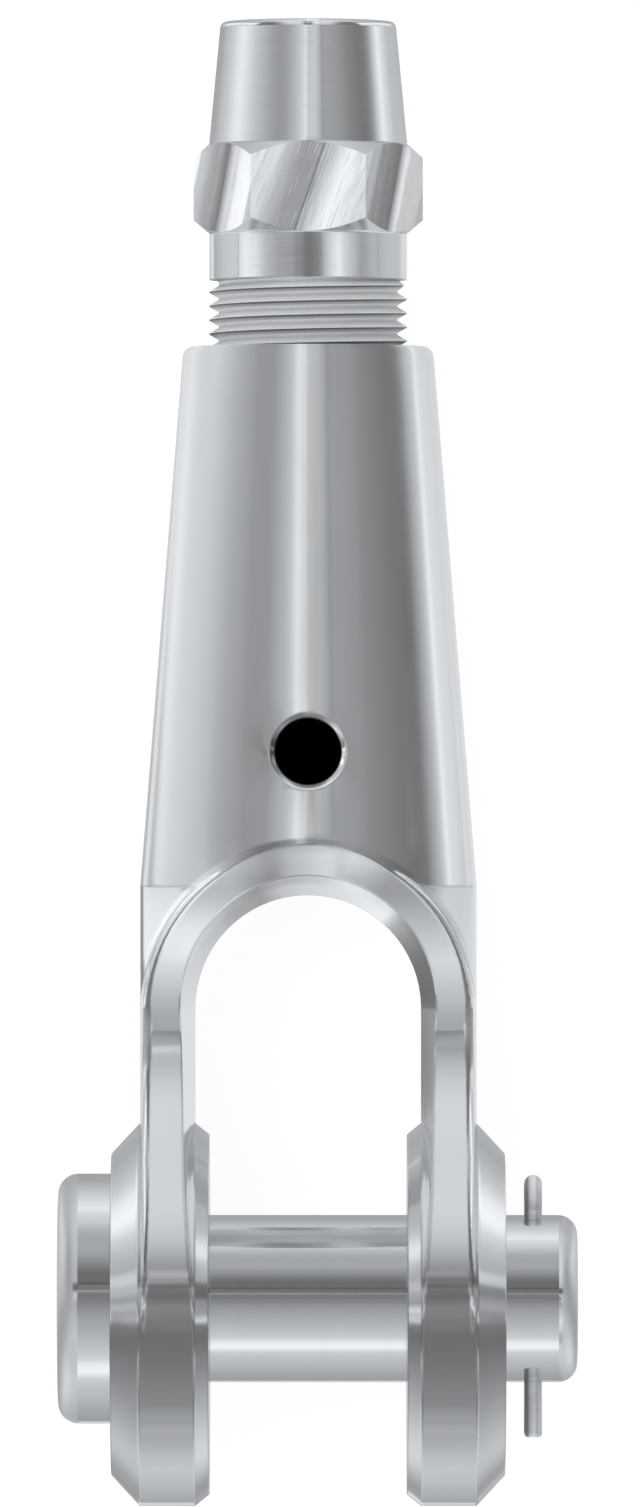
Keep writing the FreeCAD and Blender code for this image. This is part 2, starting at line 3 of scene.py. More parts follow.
import bmesh
import bpy
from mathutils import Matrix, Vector


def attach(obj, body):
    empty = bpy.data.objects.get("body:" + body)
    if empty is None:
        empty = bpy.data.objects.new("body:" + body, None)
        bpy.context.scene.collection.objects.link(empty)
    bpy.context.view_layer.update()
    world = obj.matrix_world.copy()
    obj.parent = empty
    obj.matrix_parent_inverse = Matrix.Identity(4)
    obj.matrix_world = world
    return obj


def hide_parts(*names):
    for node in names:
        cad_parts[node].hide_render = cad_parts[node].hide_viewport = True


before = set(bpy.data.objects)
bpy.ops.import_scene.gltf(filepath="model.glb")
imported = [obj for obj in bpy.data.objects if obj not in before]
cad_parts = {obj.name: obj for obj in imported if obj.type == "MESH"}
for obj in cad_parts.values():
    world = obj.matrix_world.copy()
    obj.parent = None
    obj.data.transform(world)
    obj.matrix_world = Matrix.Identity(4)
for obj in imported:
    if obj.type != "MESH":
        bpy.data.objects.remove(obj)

# Looks of a clevis socket that lies on its back: +X runs along the clevis pin, +Y along the rope
# and +Z up out of the inspection hole. Lengths are in millimetres until a point is placed.

MM = 0.001
DEGREE = math.pi / 180
TURN = 2 * math.pi
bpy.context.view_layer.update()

# The sleeve along the rope's axis
SLEEVE_END = 120.8
COLLAR_LEVEL = 154.9
HEX_LEVEL = 162.0
NOSE_LEVEL = 175.5
SLEEVE_TOP = 194.2
COLLAR_RADIUS = 15.03
HEX_FLAT = 15.1
HEX_CORNER = HEX_FLAT / math.cos(math.pi / 6)
HEX_CHAMFER = 2.0
NOSE_FOOT_RADIUS = 15.06
NOSE_TIP_RADIUS = 13.3
BORE_RADIUS = 7.0
BORE_MIDDLE = 170.3
TAPER_MOUTH_RADIUS = 11.5
TAPER_TOP = 160.3
CORE_RADIUS = 13.6
END_CHAMFER = 0.9
COLLAR_EASE = 0.1
BORE_CHAMFER = 0.8
SHANK_ROUNDING = 0.25
COLLAR_ROUNDING = 0.12
NOSE_ROUNDING = 1.0

# Its thread: 12 to the inch, right-hand, with 60 degree flanks
PITCH = 25.4 / 12
FLANK_SLOPE = math.tan(math.pi / 6)
CREST_RADIUS = 15.07
CREST_HALF = 0.07
THREAD_PHASE = 152.0
THREAD_FROM = 122.2
THREAD_TO = 155.8
THREAD_FADES = (1.6, 2.6)

# The body's own thread, which runs in the sleeve's with a little play
MOUTH_ROOT_RADIUS = 15.24
MOUTH_CREST_RADIUS = 13.95
MOUTH_CREST_HALF = 0.1
MOUTH_THREAD_FROM = 100.3
MOUTH_THREAD_TO = 143.9
MOUTH_THREAD_FADES = (1.5, 1.0)

# A ridge's foot is sunk this far into the round form under it, and its ends keep a share of
# its height
SUNK = 0.1
END_SHARE = 0.02

# Round forms have this many sides
SIDES = 192

# Meshes: points closer than this are one, and edges sharper than this are creases
WELD = 1e-7
CREASE = 28 * DEGREE
WIRE_CREASE = 50 * DEGREE


def round_rope(radius, angle, along):
    """A point at a radius and an angle round the rope's axis. The angle grows with a right-hand thread."""
    return Vector((radius * math.cos(angle), along, -radius * math.sin(angle))) * MM


def mesh_object(name, bm, crease=CREASE):
    """A piece from a mesh being built, smooth but for its creases."""
    bmesh.ops.remove_doubles(bm, verts=bm.verts, dist=WELD)
    bmesh.ops.recalc_face_normals(bm, faces=bm.faces)
    for face in bm.faces:
        face.smooth = True
    for edge in bm.edges:
        edge.smooth = edge.calc_face_angle(0.0) < crease
    mesh = bpy.data.meshes.new(name)
    bm.to_mesh(mesh)
    bm.free()
    piece = bpy.data.objects.new(name, mesh)
    bpy.context.scene.collection.objects.link(piece)
    return piece


def skin(bm, rings, closed=True):
    """Joins rings that have as many points each. A closed skin joins the last ring to the first."""
    pairs = list(zip(rings, rings[1:]))
    if closed:
        pairs.append((rings[-1], rings[0]))
    for lower, upper in pairs:
        for step in range(len(lower)):
            after = (step + 1) % len(lower)
            corners = (lower[step], lower[after], upper[after], upper[step])
            bm.faces.new(corners)


def hexagon_radius(angle):
    """Distance from the rope's axis to the hexagon's side. Its corners lie on the X axis."""
    from_middle = math.fmod(angle, math.pi / 3) - math.pi / 6
    return HEX_FLAT / math.cos(from_middle)


def chamfer_rise(angle):
    """How far the hexagon's chamfer reaches up its side at an angle: furthest at the corners."""
    return HEX_CHAMFER * (hexagon_radius(angle) - HEX_FLAT) / (HEX_CORNER - HEX_FLAT)


def softened(corners, radius, steps=3, strip=0.03):
    """Corners (radius, along) of an outline, each but the ends rounded with a small arc. A narrow
    strip on either side of an arc keeps the long faces' shading flat."""
    points = [corners[0]]
    for before, here, after in zip(corners, corners[1:], corners[2:]):
        back = Vector(before) - Vector(here)
        on = Vector(after) - Vector(here)
        cut = min(radius, back.length / 3, on.length / 3)
        start = Vector(here) + back.normalized() * cut
        finish = Vector(here) + on.normalized() * cut
        points.append(tuple(start + back.normalized() * strip))
        for step in range(steps + 1):
            share = step / steps
            first = start.lerp(Vector(here), share)
            second = Vector(here).lerp(finish, share)
            points.append(tuple(first.lerp(second, share)))
        points.append(tuple(finish + on.normalized() * strip))
    points.append(corners[-1])
    return points


def sleeve_outline():
    """Rows of the sleeve from the middle of its bore round to the same place, as functions that
    give (radius, along) at an angle."""
    shank = [
        (BORE_RADIUS, BORE_MIDDLE),
        (BORE_RADIUS, TAPER_TOP),
        (TAPER_MOUTH_RADIUS, SLEEVE_END),
        (CORE_RADIUS - END_CHAMFER, SLEEVE_END),
        (CORE_RADIUS, SLEEVE_END + END_CHAMFER),
        (CORE_RADIUS, COLLAR_LEVEL),
    ]
    collar = [
        (CORE_RADIUS, COLLAR_LEVEL),
        (COLLAR_RADIUS, COLLAR_LEVEL),
        (COLLAR_RADIUS, HEX_LEVEL - 1.5 * COLLAR_EASE),
        (COLLAR_RADIUS - COLLAR_EASE, HEX_LEVEL),
    ]
    nose = [
        (NOSE_FOOT_RADIUS - COLLAR_EASE, NOSE_LEVEL),
        (NOSE_FOOT_RADIUS, NOSE_LEVEL + COLLAR_EASE),
        (NOSE_TIP_RADIUS, SLEEVE_TOP),
        (BORE_RADIUS + BORE_CHAMFER, SLEEVE_TOP),
        (BORE_RADIUS, SLEEVE_TOP - BORE_CHAMFER),
        (BORE_RADIUS, BORE_MIDDLE),
    ]
    rows = [lambda angle, p=point: p for point in softened(shank, SHANK_ROUNDING)]
    rows += [lambda angle, p=point: p for point in softened(collar, COLLAR_ROUNDING)]
    rows += [
        lambda angle: (HEX_FLAT, HEX_LEVEL),
        lambda angle: (hexagon_radius(angle), HEX_LEVEL + chamfer_rise(angle)),
        lambda angle: (hexagon_radius(angle), NOSE_LEVEL - chamfer_rise(angle)),
        lambda angle: (HEX_FLAT, NOSE_LEVEL),
    ]
    rows += [lambda angle, p=point: p for point in softened(nose, NOSE_ROUNDING, 6)[:-1]]
    return rows


def add_turned(bm, rows):
    """Turns the rows round the rope's axis."""
    angles = [TURN * step / SIDES for step in range(SIDES)]
    rings = []
    for row in rows:
        ring = []
        for angle in angles:
            radius, along = row(angle)
            ring.append(bm.verts.new(round_rope(radius, angle, along)))
        rings.append(ring)
    skin(bm, rings)


def add_ridge(bm, start, finish, foot_radius, crest_radius, crest_half, phase, fades):
    """A thread's ridge along the rope's axis, with straight flanks from its foot to its crest.
    fades holds the lengths over which its two ends die out."""
    foot_half = crest_half + abs(crest_radius - foot_radius) * FLANK_SLOPE
    steps = math.ceil((finish - start) / PITCH * SIDES / 2)
    rings = []
    for step in range(steps + 1):
        along = start + (finish - start) * step / steps
        angle = TURN * (along - phase) / PITCH
        rise = (along - start) / fades[0] + END_SHARE
        fall = (finish - along) / fades[1] + END_SHARE
        tip = foot_radius + (crest_radius - foot_radius) * min(1.0, rise, fall)
        corners = [
            (foot_radius, -foot_half),
            (tip, -crest_half),
            (tip, crest_half),
            (foot_radius, foot_half),
        ]
        rings.append([bm.verts.new(round_rope(r, angle, along + shift)) for r, shift in corners])
    skin(bm, rings, closed=False)
    bm.faces.new(reversed(rings[0]))
    bm.faces.new(rings[-1])


def make_sleeve():
    """Hex sleeve with its thread, which dies out under the collar."""
    bm = bmesh.new()
    add_turned(bm, sleeve_outline())
    foot = CORE_RADIUS - SUNK
    add_ridge(bm, THREAD_FROM, THREAD_TO, foot, CREST_RADIUS, CREST_HALF, THREAD_PHASE, THREAD_FADES)
    piece = mesh_object("hex_sleeve", bm)
    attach(piece, "sleeve")
    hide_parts("sleeve")
    return piece


def make_mouth_thread():
    """Inside thread of the body's mouth, half a pitch off the sleeve's."""
    bm = bmesh.new()
    foot, crest, half = MOUTH_ROOT_RADIUS, MOUTH_CREST_RADIUS, MOUTH_CREST_HALF
    phase = THREAD_PHASE + PITCH / 2
    add_ridge(bm, MOUTH_THREAD_FROM, MOUTH_THREAD_TO, foot, crest, half, phase, MOUTH_THREAD_FADES)
    piece = mesh_object("mouth_thread", bm)
    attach(piece, "socket")
    return piece


# The split pin, seen along the clevis pin: height over the clevis pin's axis, then place along Y
COTTER_PLACE = 34.2
WIRE_RADIUS = 1.35
LEG_HEIGHT = 0.05
EYE_PLACE = 16.0
EYE_RADIUS = 1.45
NECK_RADIUS = 1.8
BEND_PLACE = -13.5
BEND_RADIUS = 5.0
BEND_ANGLE = 24 * DEGREE
TIP_LENGTH = 6.1
DOME_LENGTH = 0.8
DOME_WIDTH = 0.42
DOME_MIDDLE = 0.45 * WIRE_RADIUS
WIRE_SIDES = 20
LEG_STOPS = (0.0, 0.04, 0.12, 0.24, 0.4, 0.6, 0.8, 1.5, 2.5, 3.5, 4.5, 5.3)


def arc_points(centre, radius, start, finish, steps):
    """Points (height, along) on an arc, from one angle to another."""
    points = []
    for step in range(steps + 1):
        angle = start + (finish - start) * step / steps
        points.append((centre[0] + radius * math.cos(angle), centre[1] + radius * math.sin(angle)))
    return points


def wire_route():
    """Inner side of the wire from one tip up the leg, round the eye and down the other leg."""
    reach = EYE_RADIUS + NECK_RADIUS
    side = LEG_HEIGHT + NECK_RADIUS
    lean = math.acos(side / reach)
    neck = EYE_PLACE - reach * math.sin(lean)
    bend = arc_points((LEG_HEIGHT + BEND_RADIUS, BEND_PLACE), BEND_RADIUS, math.pi + BEND_ANGLE, math.pi, 10)
    tip = (
        bend[0][0] + TIP_LENGTH * math.sin(BEND_ANGLE),
        bend[0][1] - TIP_LENGTH * math.cos(BEND_ANGLE),
    )
    leg = [Vector(tip).lerp(Vector(bend[0]), stop / TIP_LENGTH) for stop in LEG_STOPS]
    shaft = [(LEG_HEIGHT, BEND_PLACE + (neck - BEND_PLACE) * step / 12) for step in range(1, 12)]
    neck_arc = arc_points((side, neck), NECK_RADIUS, math.pi, math.pi - lean, 8)
    eye = arc_points((0, EYE_PLACE), EYE_RADIUS, -lean, math.pi / 2, 16)
    half = [tuple(point) for point in leg] + bend + shaft + neck_arc + eye[1:]
    other = [(-height, along) for height, along in reversed(half[:-1])]
    return [Vector(point) for point in half + other]


def make_cotter():
    """Split pin of half-round wire, bent double, with domed tips."""
    route = wire_route()
    lengths = [0.0]
    for before, after in zip(route, route[1:]):
        lengths.append(lengths[-1] + (after - before).length)
    bm = bmesh.new()
    rings = []
    for index, place in enumerate(route):
        before = route[max(index - 1, 0)]
        after = route[min(index + 1, len(route) - 1)]
        course = (after - before).normalized()
        outward = Vector((course.y, -course.x))
        to_end = min(lengths[index], lengths[-1] - lengths[index])
        dome = math.sqrt(max(0.0, 1 - max(0.0, 1 - to_end / DOME_LENGTH) ** 2))
        rings.append(wire_section(bm, place, outward, DOME_WIDTH + (1 - DOME_WIDTH) * dome))
    skin(bm, rings, closed=False)
    bm.faces.new(reversed(rings[0]))
    bm.faces.new(rings[-1])
    piece = mesh_object("split_pin", bm, WIRE_CREASE)
    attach(piece, "pin")
    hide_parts("cotter_pin")
    return piece


def wire_section(bm, place, outward, share):
    """One ring of the wire: a half circle that bulges outward, drawn in towards its middle."""
    ring = []
    for step in range(WIRE_SIDES + 1):
        angle = math.pi * step / WIRE_SIDES
        across = WIRE_RADIUS * math.cos(angle) * share
        rise = DOME_MIDDLE + (WIRE_RADIUS * math.sin(angle) - DOME_MIDDLE) * share
        spot = place + outward * rise
        ring.append(bm.verts.new(Vector((COTTER_PLACE + across, spot.y, spot.x)) * MM))
    return ring


# Node tools

WHITE = (1, 1, 1, 1)


def add_node(tree, kind, values=None, **settings):
    """A node with its settings, and with values on its inputs. A value may be another's output."""
    node = tree.nodes.new(kind)
    for name, setting in settings.items():
        setattr(node, name, setting)
    for name, value in (values or {}).items():
        if isinstance(value, bpy.types.NodeSocket):
            tree.links.new(value, node.inputs[name])
        else:
            node.inputs[name].default_value = value
    return node


def sum_of(tree, operation, first, second=0.0, third=0.0):
    """One step of arithmetic on numbers or outputs."""
    values = {0: first, 1: second, 2: third}
    return add_node(tree, "ShaderNodeMath", values, operation=operation).outputs[0]


def product(tree, *factors):
    """Factors multiplied one after another."""
    total = factors[0]
    for factor in factors[1:]:
        total = sum_of(tree, "MULTIPLY", total, factor)
    return total


def largest(tree, *values):
    """The largest of several values."""
    top = values[0]
    for value in values[1:]:
        top = sum_of(tree, "MAXIMUM", top, value)
    return top


def vector_of(tree, operation, first, second=(0, 0, 0)):
    """One step of arithmetic on vectors. It gives a number for a length or a dot product."""
    node = add_node(tree, "ShaderNodeVectorMath", {0: first, 1: second}, operation=operation)
    return node.outputs["Value" if operation in ("LENGTH", "DOT_PRODUCT") else "Vector"]


def joined(tree, **parts):
    """A vector from its parts X, Y and Z."""
    return add_node(tree, "ShaderNodeCombineXYZ", parts).outputs[0]


def parts_of(tree, vector):
    """The parts X, Y and Z of a vector."""
    return add_node(tree, "ShaderNodeSeparateXYZ", {"Vector": vector}).outputs


def fade(tree, value, edge, unit=1.0):
    """A soft edge: 0 at its first level and beyond it, 1 at its second, and smooth between them."""
    values = {"Value": value, "From Min": edge[0] * unit, "From Max": edge[1] * unit}
    return add_node(tree, "ShaderNodeMapRange", values, interpolation_type="SMOOTHSTEP").outputs["Result"]


def between(tree, value, low_edge, high_edge, unit=1.0):
    """1 between two soft edges and 0 beyond them."""
    return product(tree, fade(tree, value, low_edge, unit), fade(tree, value, high_edge, unit))


def blend_of(tree, share, first, second, how="MIX"):
    """Two colours mixed by a share."""
    values = {0: share, 6: first, 7: second}
    return add_node(tree, "ShaderNodeMix", values, data_type="RGBA", blend_type=how).outputs[2]


def noise_of(tree, place, scale, detail, dimensions="3D"):
    """A cloudy value between 0 and 1."""
    values = {"Vector": place, "Scale": scale, "Detail": detail}
    return add_node(tree, "ShaderNodeTexNoise", values, noise_dimensions=dimensions).outputs["Fac"]


def ramp_of(tree, value, stops):
    """Colours along a value from 0 to 1, each stop (place, colour)."""
    node = add_node(tree, "ShaderNodeValToRGB", {"Fac": value})
    ramp = node.color_ramp
    while len(ramp.elements) < len(stops):
        ramp.elements.new(1.0)
    for element, (place, colour) in zip(ramp.elements, stops):
        element.position = place
        element.color = colour
    return node.outputs["Color"]


def grey_ramp(tree, value, stops):
    """Greys along a value from 0 to 1, each stop (place, level)."""
    return ramp_of(tree, value, [(place, (level, level, level, 1)) for place, level in stops])


# The highest share that a table of shades round a form may hold
SHADE_TOP = 1.6


def shade_round(tree, shades, angle):
    """A share by an angle of up to 90 degrees either way, each stop (degrees, share)."""
    place = sum_of(tree, "MULTIPLY_ADD", angle, 1 / math.pi, 0.5)
    stops = [((degrees + 90) / 180, share / SHADE_TOP) for degrees, share in shades]
    return product(tree, grey_ramp(tree, place, stops), SHADE_TOP)


def new_group(name, inputs, outputs):
    """An empty node group with named sockets, and its two end nodes."""
    group = bpy.data.node_groups.new(name, "ShaderNodeTree")
    for label, kind, default in inputs:
        socket = group.interface.new_socket(label, in_out="INPUT", socket_type=kind)
        if default is not None:
            socket.default_value = default
    for label, kind in outputs:
        group.interface.new_socket(label, in_out="OUTPUT", socket_type=kind)
    return group, group.nodes.new("NodeGroupInput"), group.nodes.new("NodeGroupOutput")


def put_out(group, end, **results):
    """Ends a node group with its named results."""
    for name, result in results.items():
        group.links.new(result, end.inputs[name])
    return group


def use_group(tree, group, **values):
    """The outputs of a node group placed in a material, with values on its inputs."""
    return add_node(tree, "ShaderNodeGroup", values, node_tree=group).outputs


# Effects of the finishes. Soft edges on the object are in millimetres, and a shade of 1 leaves
# the metal's tint as it is.

# The hollow of the body and its inspection hole, painted near-black as shade, and the hole's countersink,
# with painted shade on one side and painted light on the other
HOLLOW_SIDE = (15.8, 15.2)
HOLLOW_FOOT = (66.0, 69.0)
HOLLOW_MOUTH = (143.8, 143.0)
HOLE_PLACE = 83.2
HOLE_SIDE = (5.12, 5.04)
COUNTERSINK_SIDE = (6.0, 5.7)
COUNTERSINK_TURN = (-0.7, 0.8)
COUNTERSINK_PAINTED_SHADE = -0.68
COUNTERSINK_PAINTED_LIGHT = 0.27
UPPER_SIDE = (0.0, 5.0)

# The mouth's rounding
MOUTH_RISE = (142.6, 143.2)
MOUTH_SIDE = (16.8, 17.6)
CONE_TAPER = 0.0803

# The fork: the centres of its ears and arch, then zones across it, round the arch and along it
EAR_CENTRE = -2.4
ARCH_CENTRE = 44.2
EAR_INSIDE = (17.0, 17.2)
EAR_OUTSIDE = (25.65, 25.5)
EDGE_INSIDE = (23.6, 23.9)
EDGE_OUTSIDE = (25.1, 24.9)
ARM_OUTSIDE = (26.2, 25.7)
CROWN_INSIDE = (18.5, 19.5)
CROWN_OUTSIDE = (26.2, 25.6)
CROWN_FOOT = (40.0, 44.2)
RIM_TOP = (10.0, 6.0)
# Painted shade over the ears: it starts at the first level and is full by the second, at this share
EAR_TOP = (16.0, 2.0)
EAR_PAINTED_SHADE = -0.22
# A painted dark line along the arms' outer edges between these levels, at this share; the same strip is also
# rougher and more rounded
WAIST_FOOT = (34.5, 37.0)
WAIST_TOP = (45.2, 44.0)
WAIST_PAINTED_SHADE = -0.3
ARM_FOOT = (0.0, 10.0)
ARM_TOP = (44.2, 40.0)
LEAN_WIDTH = 7.0
ARM_LEAN = 0.105

# The painted highlight along the centre line starts on the cone past the arch, and again where the nose
# starts
CONE_SHINE_FROM = 70.0
SHINE_START = (0.0, 1.2)
NOSE_SHINE = 0.76

# Half the width of the hexagon's upper flat, then the slant of its painted bands and of its grinding
# streaks, and the streaks themselves
FLAT_SIDE = (8.4, 9.2)
GRIND_SLANT = 22.4
STREAK_FINENESS = 70.0
STREAK_STRETCH = 2.5
STREAK_RIPPLE = 0.12
SCRATCH_START = (0.6, 0.7)

# The lathe's rings: fine ones, and coarse ones at a share of their fineness and of their height
RING_FINENESS = 5200.0
COARSE_FINENESS = 0.13
COARSE_HEIGHT = 0.7
RING_MIDDLE = 0.85

# The forging's waves, grain and clouds: how fine, and with how much detail
WAVES = (90.0, 1.5)
GRAIN = (2600.0, 2.0)
CLOUDS = (38.0, 3.0)
GRAIN_HEIGHT = 0.05
CLOUD_EDGE = (0.35, 0.75)


def lathe_marks_group():
    """Fine rings that a lathe leaves round an axis: a height, and a tone to tint the metal with."""
    inputs = (
        ("Place", "NodeSocketVector", None),
        ("Axis", "NodeSocketVector", (0, 1, 0)),
        ("Fineness", "NodeSocketFloat", RING_FINENESS),
        ("Contrast", "NodeSocketFloat", 0.1),
    )
    outputs = (("Height", "NodeSocketFloat"), ("Tone", "NodeSocketFloat"))
    group, start, end = new_group("lathe_marks", inputs, outputs)
    place, axis, fineness = (start.outputs[name] for name in ("Place", "Axis", "Fineness"))
    along = vector_of(group, "DOT_PRODUCT", place, axis)
    radius = vector_of(group, "LENGTH", vector_of(group, "CROSS_PRODUCT", place, axis))
    ring = joined(group, X=along, Y=radius)
    fine = noise_of(group, ring, fineness, 2.0, "2D")
    coarse = noise_of(group, ring, product(group, fineness, COARSE_FINENESS), 1.0, "2D")
    both = sum_of(group, "MULTIPLY_ADD", coarse, COARSE_HEIGHT, fine)
    centred = sum_of(group, "SUBTRACT", both, RING_MIDDLE)
    tone = sum_of(group, "MULTIPLY_ADD", centred, start.outputs["Contrast"], 1.0)
    return put_out(group, end, Height=both, Tone=tone)


def forged_skin_group():
    """Gentle waves and fine grain of a forging that has been tumbled bright."""
    inputs = (("Place", "NodeSocketVector", None), ("Contrast", "NodeSocketFloat", 0.1))
    outputs = (("Height", "NodeSocketFloat"), ("Tone", "NodeSocketFloat"), ("Dullness", "NodeSocketFloat"))
    group, start, end = new_group("forged_skin", inputs, outputs)
    place = start.outputs["Place"]
    waves = noise_of(group, place, *WAVES)
    grain = noise_of(group, place, *GRAIN)
    clouds = noise_of(group, place, *CLOUDS)
    height = sum_of(group, "MULTIPLY_ADD", grain, GRAIN_HEIGHT, waves)
    centred = sum_of(group, "SUBTRACT", clouds, 0.5)
    tone = sum_of(group, "MULTIPLY_ADD", centred, start.outputs["Contrast"], 1.0)
    return put_out(group, end, Height=height, Tone=tone, Dullness=fade(group, clouds, CLOUD_EDGE))


def hollow_mask_group():
    """1 inside the body's hollow and its inspection hole, which are painted near-black as shade, and the
    tone of the inspection hole's countersink, with painted shade on one side and painted light on the other."""
    inputs = (("Place", "NodeSocketVector", None),)
    outputs = (("Mask", "NodeSocketFloat"), ("Rim", "NodeSocketFloat"))
    group, start, end = new_group("hollow_mask", inputs, outputs)
    x, y, z = parts_of(group, start.outputs["Place"])
    radius = vector_of(group, "LENGTH", joined(group, X=x, Y=z))
    within_ends = between(group, y, HOLLOW_FOOT, HOLLOW_MOUTH, MM)
    chamber = product(group, fade(group, radius, HOLLOW_SIDE, MM), within_ends)
    above_hole = sum_of(group, "SUBTRACT", y, HOLE_PLACE * MM)
    off_hole = vector_of(group, "LENGTH", joined(group, X=x, Y=above_hole))
    upper = fade(group, z, UPPER_SIDE, MM)
    drilled = product(group, fade(group, off_hole, HOLE_SIDE, MM), upper)
    sunk = product(group, fade(group, off_hole, COUNTERSINK_SIDE, MM), upper)
    # The countersink's tone turns from painted shade on one side of the hole to painted light on the other
    turn = sum_of(group, "DIVIDE", sum_of(group, "SUBTRACT", x, above_hole), off_hole)
    rise = COUNTERSINK_PAINTED_LIGHT - COUNTERSINK_PAINTED_SHADE
    shade = sum_of(group, "MULTIPLY_ADD", fade(group, turn, COUNTERSINK_TURN), rise, COUNTERSINK_PAINTED_SHADE)
    rim = sum_of(group, "MULTIPLY_ADD", sunk, shade, 1.0)
    return put_out(group, end, Mask=sum_of(group, "MAXIMUM", chamber, drilled), Rim=rim)


# Painted reflection bands across a flat, each stop (share of the flat, shade): on the upper flat, on the
# side flats, and the bands' leans in degrees
FLAT_PAINTED_BANDS = (
    (0.0, 0.95), (0.1, 0.9), (0.25, 1.02), (0.35, 0.95), (0.5, 0.97), (0.512, 1.05), (0.53, 0.88),
    (0.64, 0.9), (0.7, 0.95), (0.8, 1.0), (0.88, 0.95), (1.0, 0.95),
)
SIDE_PAINTED_BANDS = (
    (0.0, 1.05), (0.12, 0.9), (0.21, 0.64), (0.34, 0.47), (0.51, 0.33), (0.57, 0.66), (0.63, 1.0),
    (0.7, 1.2), (0.86, 1.12), (1.0, 1.0),
)
FLAT_LEANS = (
    (0.0, -29), (0.1, -31), (0.25, -20), (0.35, -13), (0.5, -11), (0.525, 9), (0.63, 12), (0.7, 15),
    (0.8, 19), (0.9, 20), (1.0, 21),
)


def ground_flats_group():
    """Slanting bands on the hexagon's six flats, with painted reflection and painted shade in their tone,
    and scratches that grinding leaves. Each band leans a little its own way, so that it mirrors another part
    of the room."""
    inputs = (("Place", "NodeSocketVector", None), ("Slant", "NodeSocketFloat", GRIND_SLANT))
    outputs = (
        ("Tone", "NodeSocketFloat"),
        ("Scratches", "NodeSocketFloat"),
        ("Normal", "NodeSocketVector"),
    )
    group, start, end = new_group("ground_flats", inputs, outputs)
    x, y, z = parts_of(group, start.outputs["Place"])
    faces = sum_of(group, "DIVIDE", turned_round(group, x, z), math.pi / 3)
    level = sum_of(group, "SUBTRACT", y, (HEX_LEVEL + NOSE_LEVEL) / 2 * MM)
    place = sum_of(group, "SUBTRACT", faces, product(group, level, start.outputs["Slant"]))
    spot = joined(group, X=place, Y=product(group, y, STREAK_STRETCH))
    streak = noise_of(group, spot, STREAK_FINENESS, 2.0, "2D")
    share = sum_of(group, "FRACT", sum_of(group, "ADD", place, 6.0))
    upper_tone = grey_ramp(group, share, FLAT_PAINTED_BANDS)
    side_tone = grey_ramp(group, share, SIDE_PAINTED_BANDS)
    on_side = fade(group, sum_of(group, "ABSOLUTE", x), FLAT_SIDE, MM)
    tone = blend_of(group, on_side, upper_tone, side_tone)
    scratches = fade(group, streak, SCRATCH_START)
    normal = ground_normal(group, share, streak)
    return put_out(group, end, Tone=tone, Scratches=scratches, Normal=normal)


def turned_round(tree, x, z):
    """The angle round the rope's axis. It grows with a right-hand thread."""
    return sum_of(tree, "ARCTAN2", product(tree, z, -1.0), x)


def ground_normal(group, share, streak):
    """Normal of a flat that leans by its band and ripples with its streaks."""
    slopes = [(at, 0.5 + 0.5 * math.tan(lean * DEGREE)) for at, lean in FLAT_LEANS]
    slope = sum_of(group, "MULTIPLY_ADD", grey_ramp(group, share, slopes), 2.0, -1.0)
    centred = sum_of(group, "SUBTRACT", streak, 0.5)
    ripple = sum_of(group, "MULTIPLY_ADD", centred, STREAK_RIPPLE, slope)
    outward = group.nodes.new("ShaderNodeNewGeometry").outputs["Normal"]
    aside = vector_of(group, "CROSS_PRODUCT", (0, 1, 0), outward)
    values = {0: aside, "Scale": ripple}
    lean = add_node(group, "ShaderNodeVectorMath", values, operation="SCALE").outputs["Vector"]
    return vector_of(group, "NORMALIZE", vector_of(group, "ADD", outward, lean))


# Painted shade and painted light round the ears' rims in degrees, from their foot up to the arms
RIM_PAINTED_SHADES = (
    (-90, 1.2), (-71, 1.5), (-60, 1.6), (-52, 1.5), (-45, 1.18), (-39, 0.84), (-33, 0.5), (-22, 0.52),
    (-10, 0.52), (-4, 0.57), (0, 0.78), (4, 1.14), (7, 1.1), (9.1, 1.28), (10.2, 0.8), (12, 0.57),
    (13.5, 0.8), (20, 0.9), (90, 1.0),
)

# Painted shade and painted light round the crown in degrees, from one arm over its top to the other
CROWN_PAINTED_SHADES = (
    (-90, 1.0), (-72, 1.03), (-64, 1.15), (-56, 1.22), (-48, 1.24), (-40, 1.2), (-32, 1.12), (-24, 0.82),
    (-16, 0.6), (-8, 0.56), (0, 0.66), (8, 0.8), (16, 1.12), (24, 1.03), (32, 0.8), (40, 0.82),
    (56, 0.8), (64, 0.86), (72, 0.98), (90, 1.05),
)


def fork_skin_group():
    """Painted shade and painted light on the fork's crown and on the ears' rims, painted shade over the ears
    and in a line along the arms' outer edges, the slight outward lean of the arms' front and back faces, and
    where their outer edges are dressed smooth."""
    inputs = (("Place", "NodeSocketVector", None), ("Lean", "NodeSocketFloat", ARM_LEAN))
    outputs = (("Tone", "NodeSocketFloat"), ("Lean", "NodeSocketFloat"), ("Dressed", "NodeSocketFloat"))
    group, start, end = new_group("fork_skin", inputs, outputs)
    x, y, z = parts_of(group, start.outputs["Place"])
    aside = sum_of(group, "ABSOLUTE", x)
    above_arch = sum_of(group, "SUBTRACT", y, ARCH_CENTRE * MM)
    off_arch = vector_of(group, "LENGTH", joined(group, X=x, Y=above_arch))
    rim = rim_shade(group, aside, y, z)
    crown = crown_shade(group, x, y, above_arch, off_arch)
    # Painted shade over the ears
    ear = sum_of(group, "MULTIPLY_ADD", fade(group, y, EAR_TOP, MM), EAR_PAINTED_SHADE, 1.0)
    by_waist = between(group, y, WAIST_FOOT, WAIST_TOP, MM)
    dressed = product(group, between(group, aside, EDGE_INSIDE, EDGE_OUTSIDE, MM), by_waist)
    # A painted dark line where the outer edges are dressed
    waist = sum_of(group, "MULTIPLY_ADD", dressed, WAIST_PAINTED_SHADE, 1.0)
    lean = product(group, outward_share(group, x, y, aside, off_arch), start.outputs["Lean"])
    return put_out(group, end, Tone=product(group, rim, crown, ear, waist), Lean=lean, Dressed=dressed)


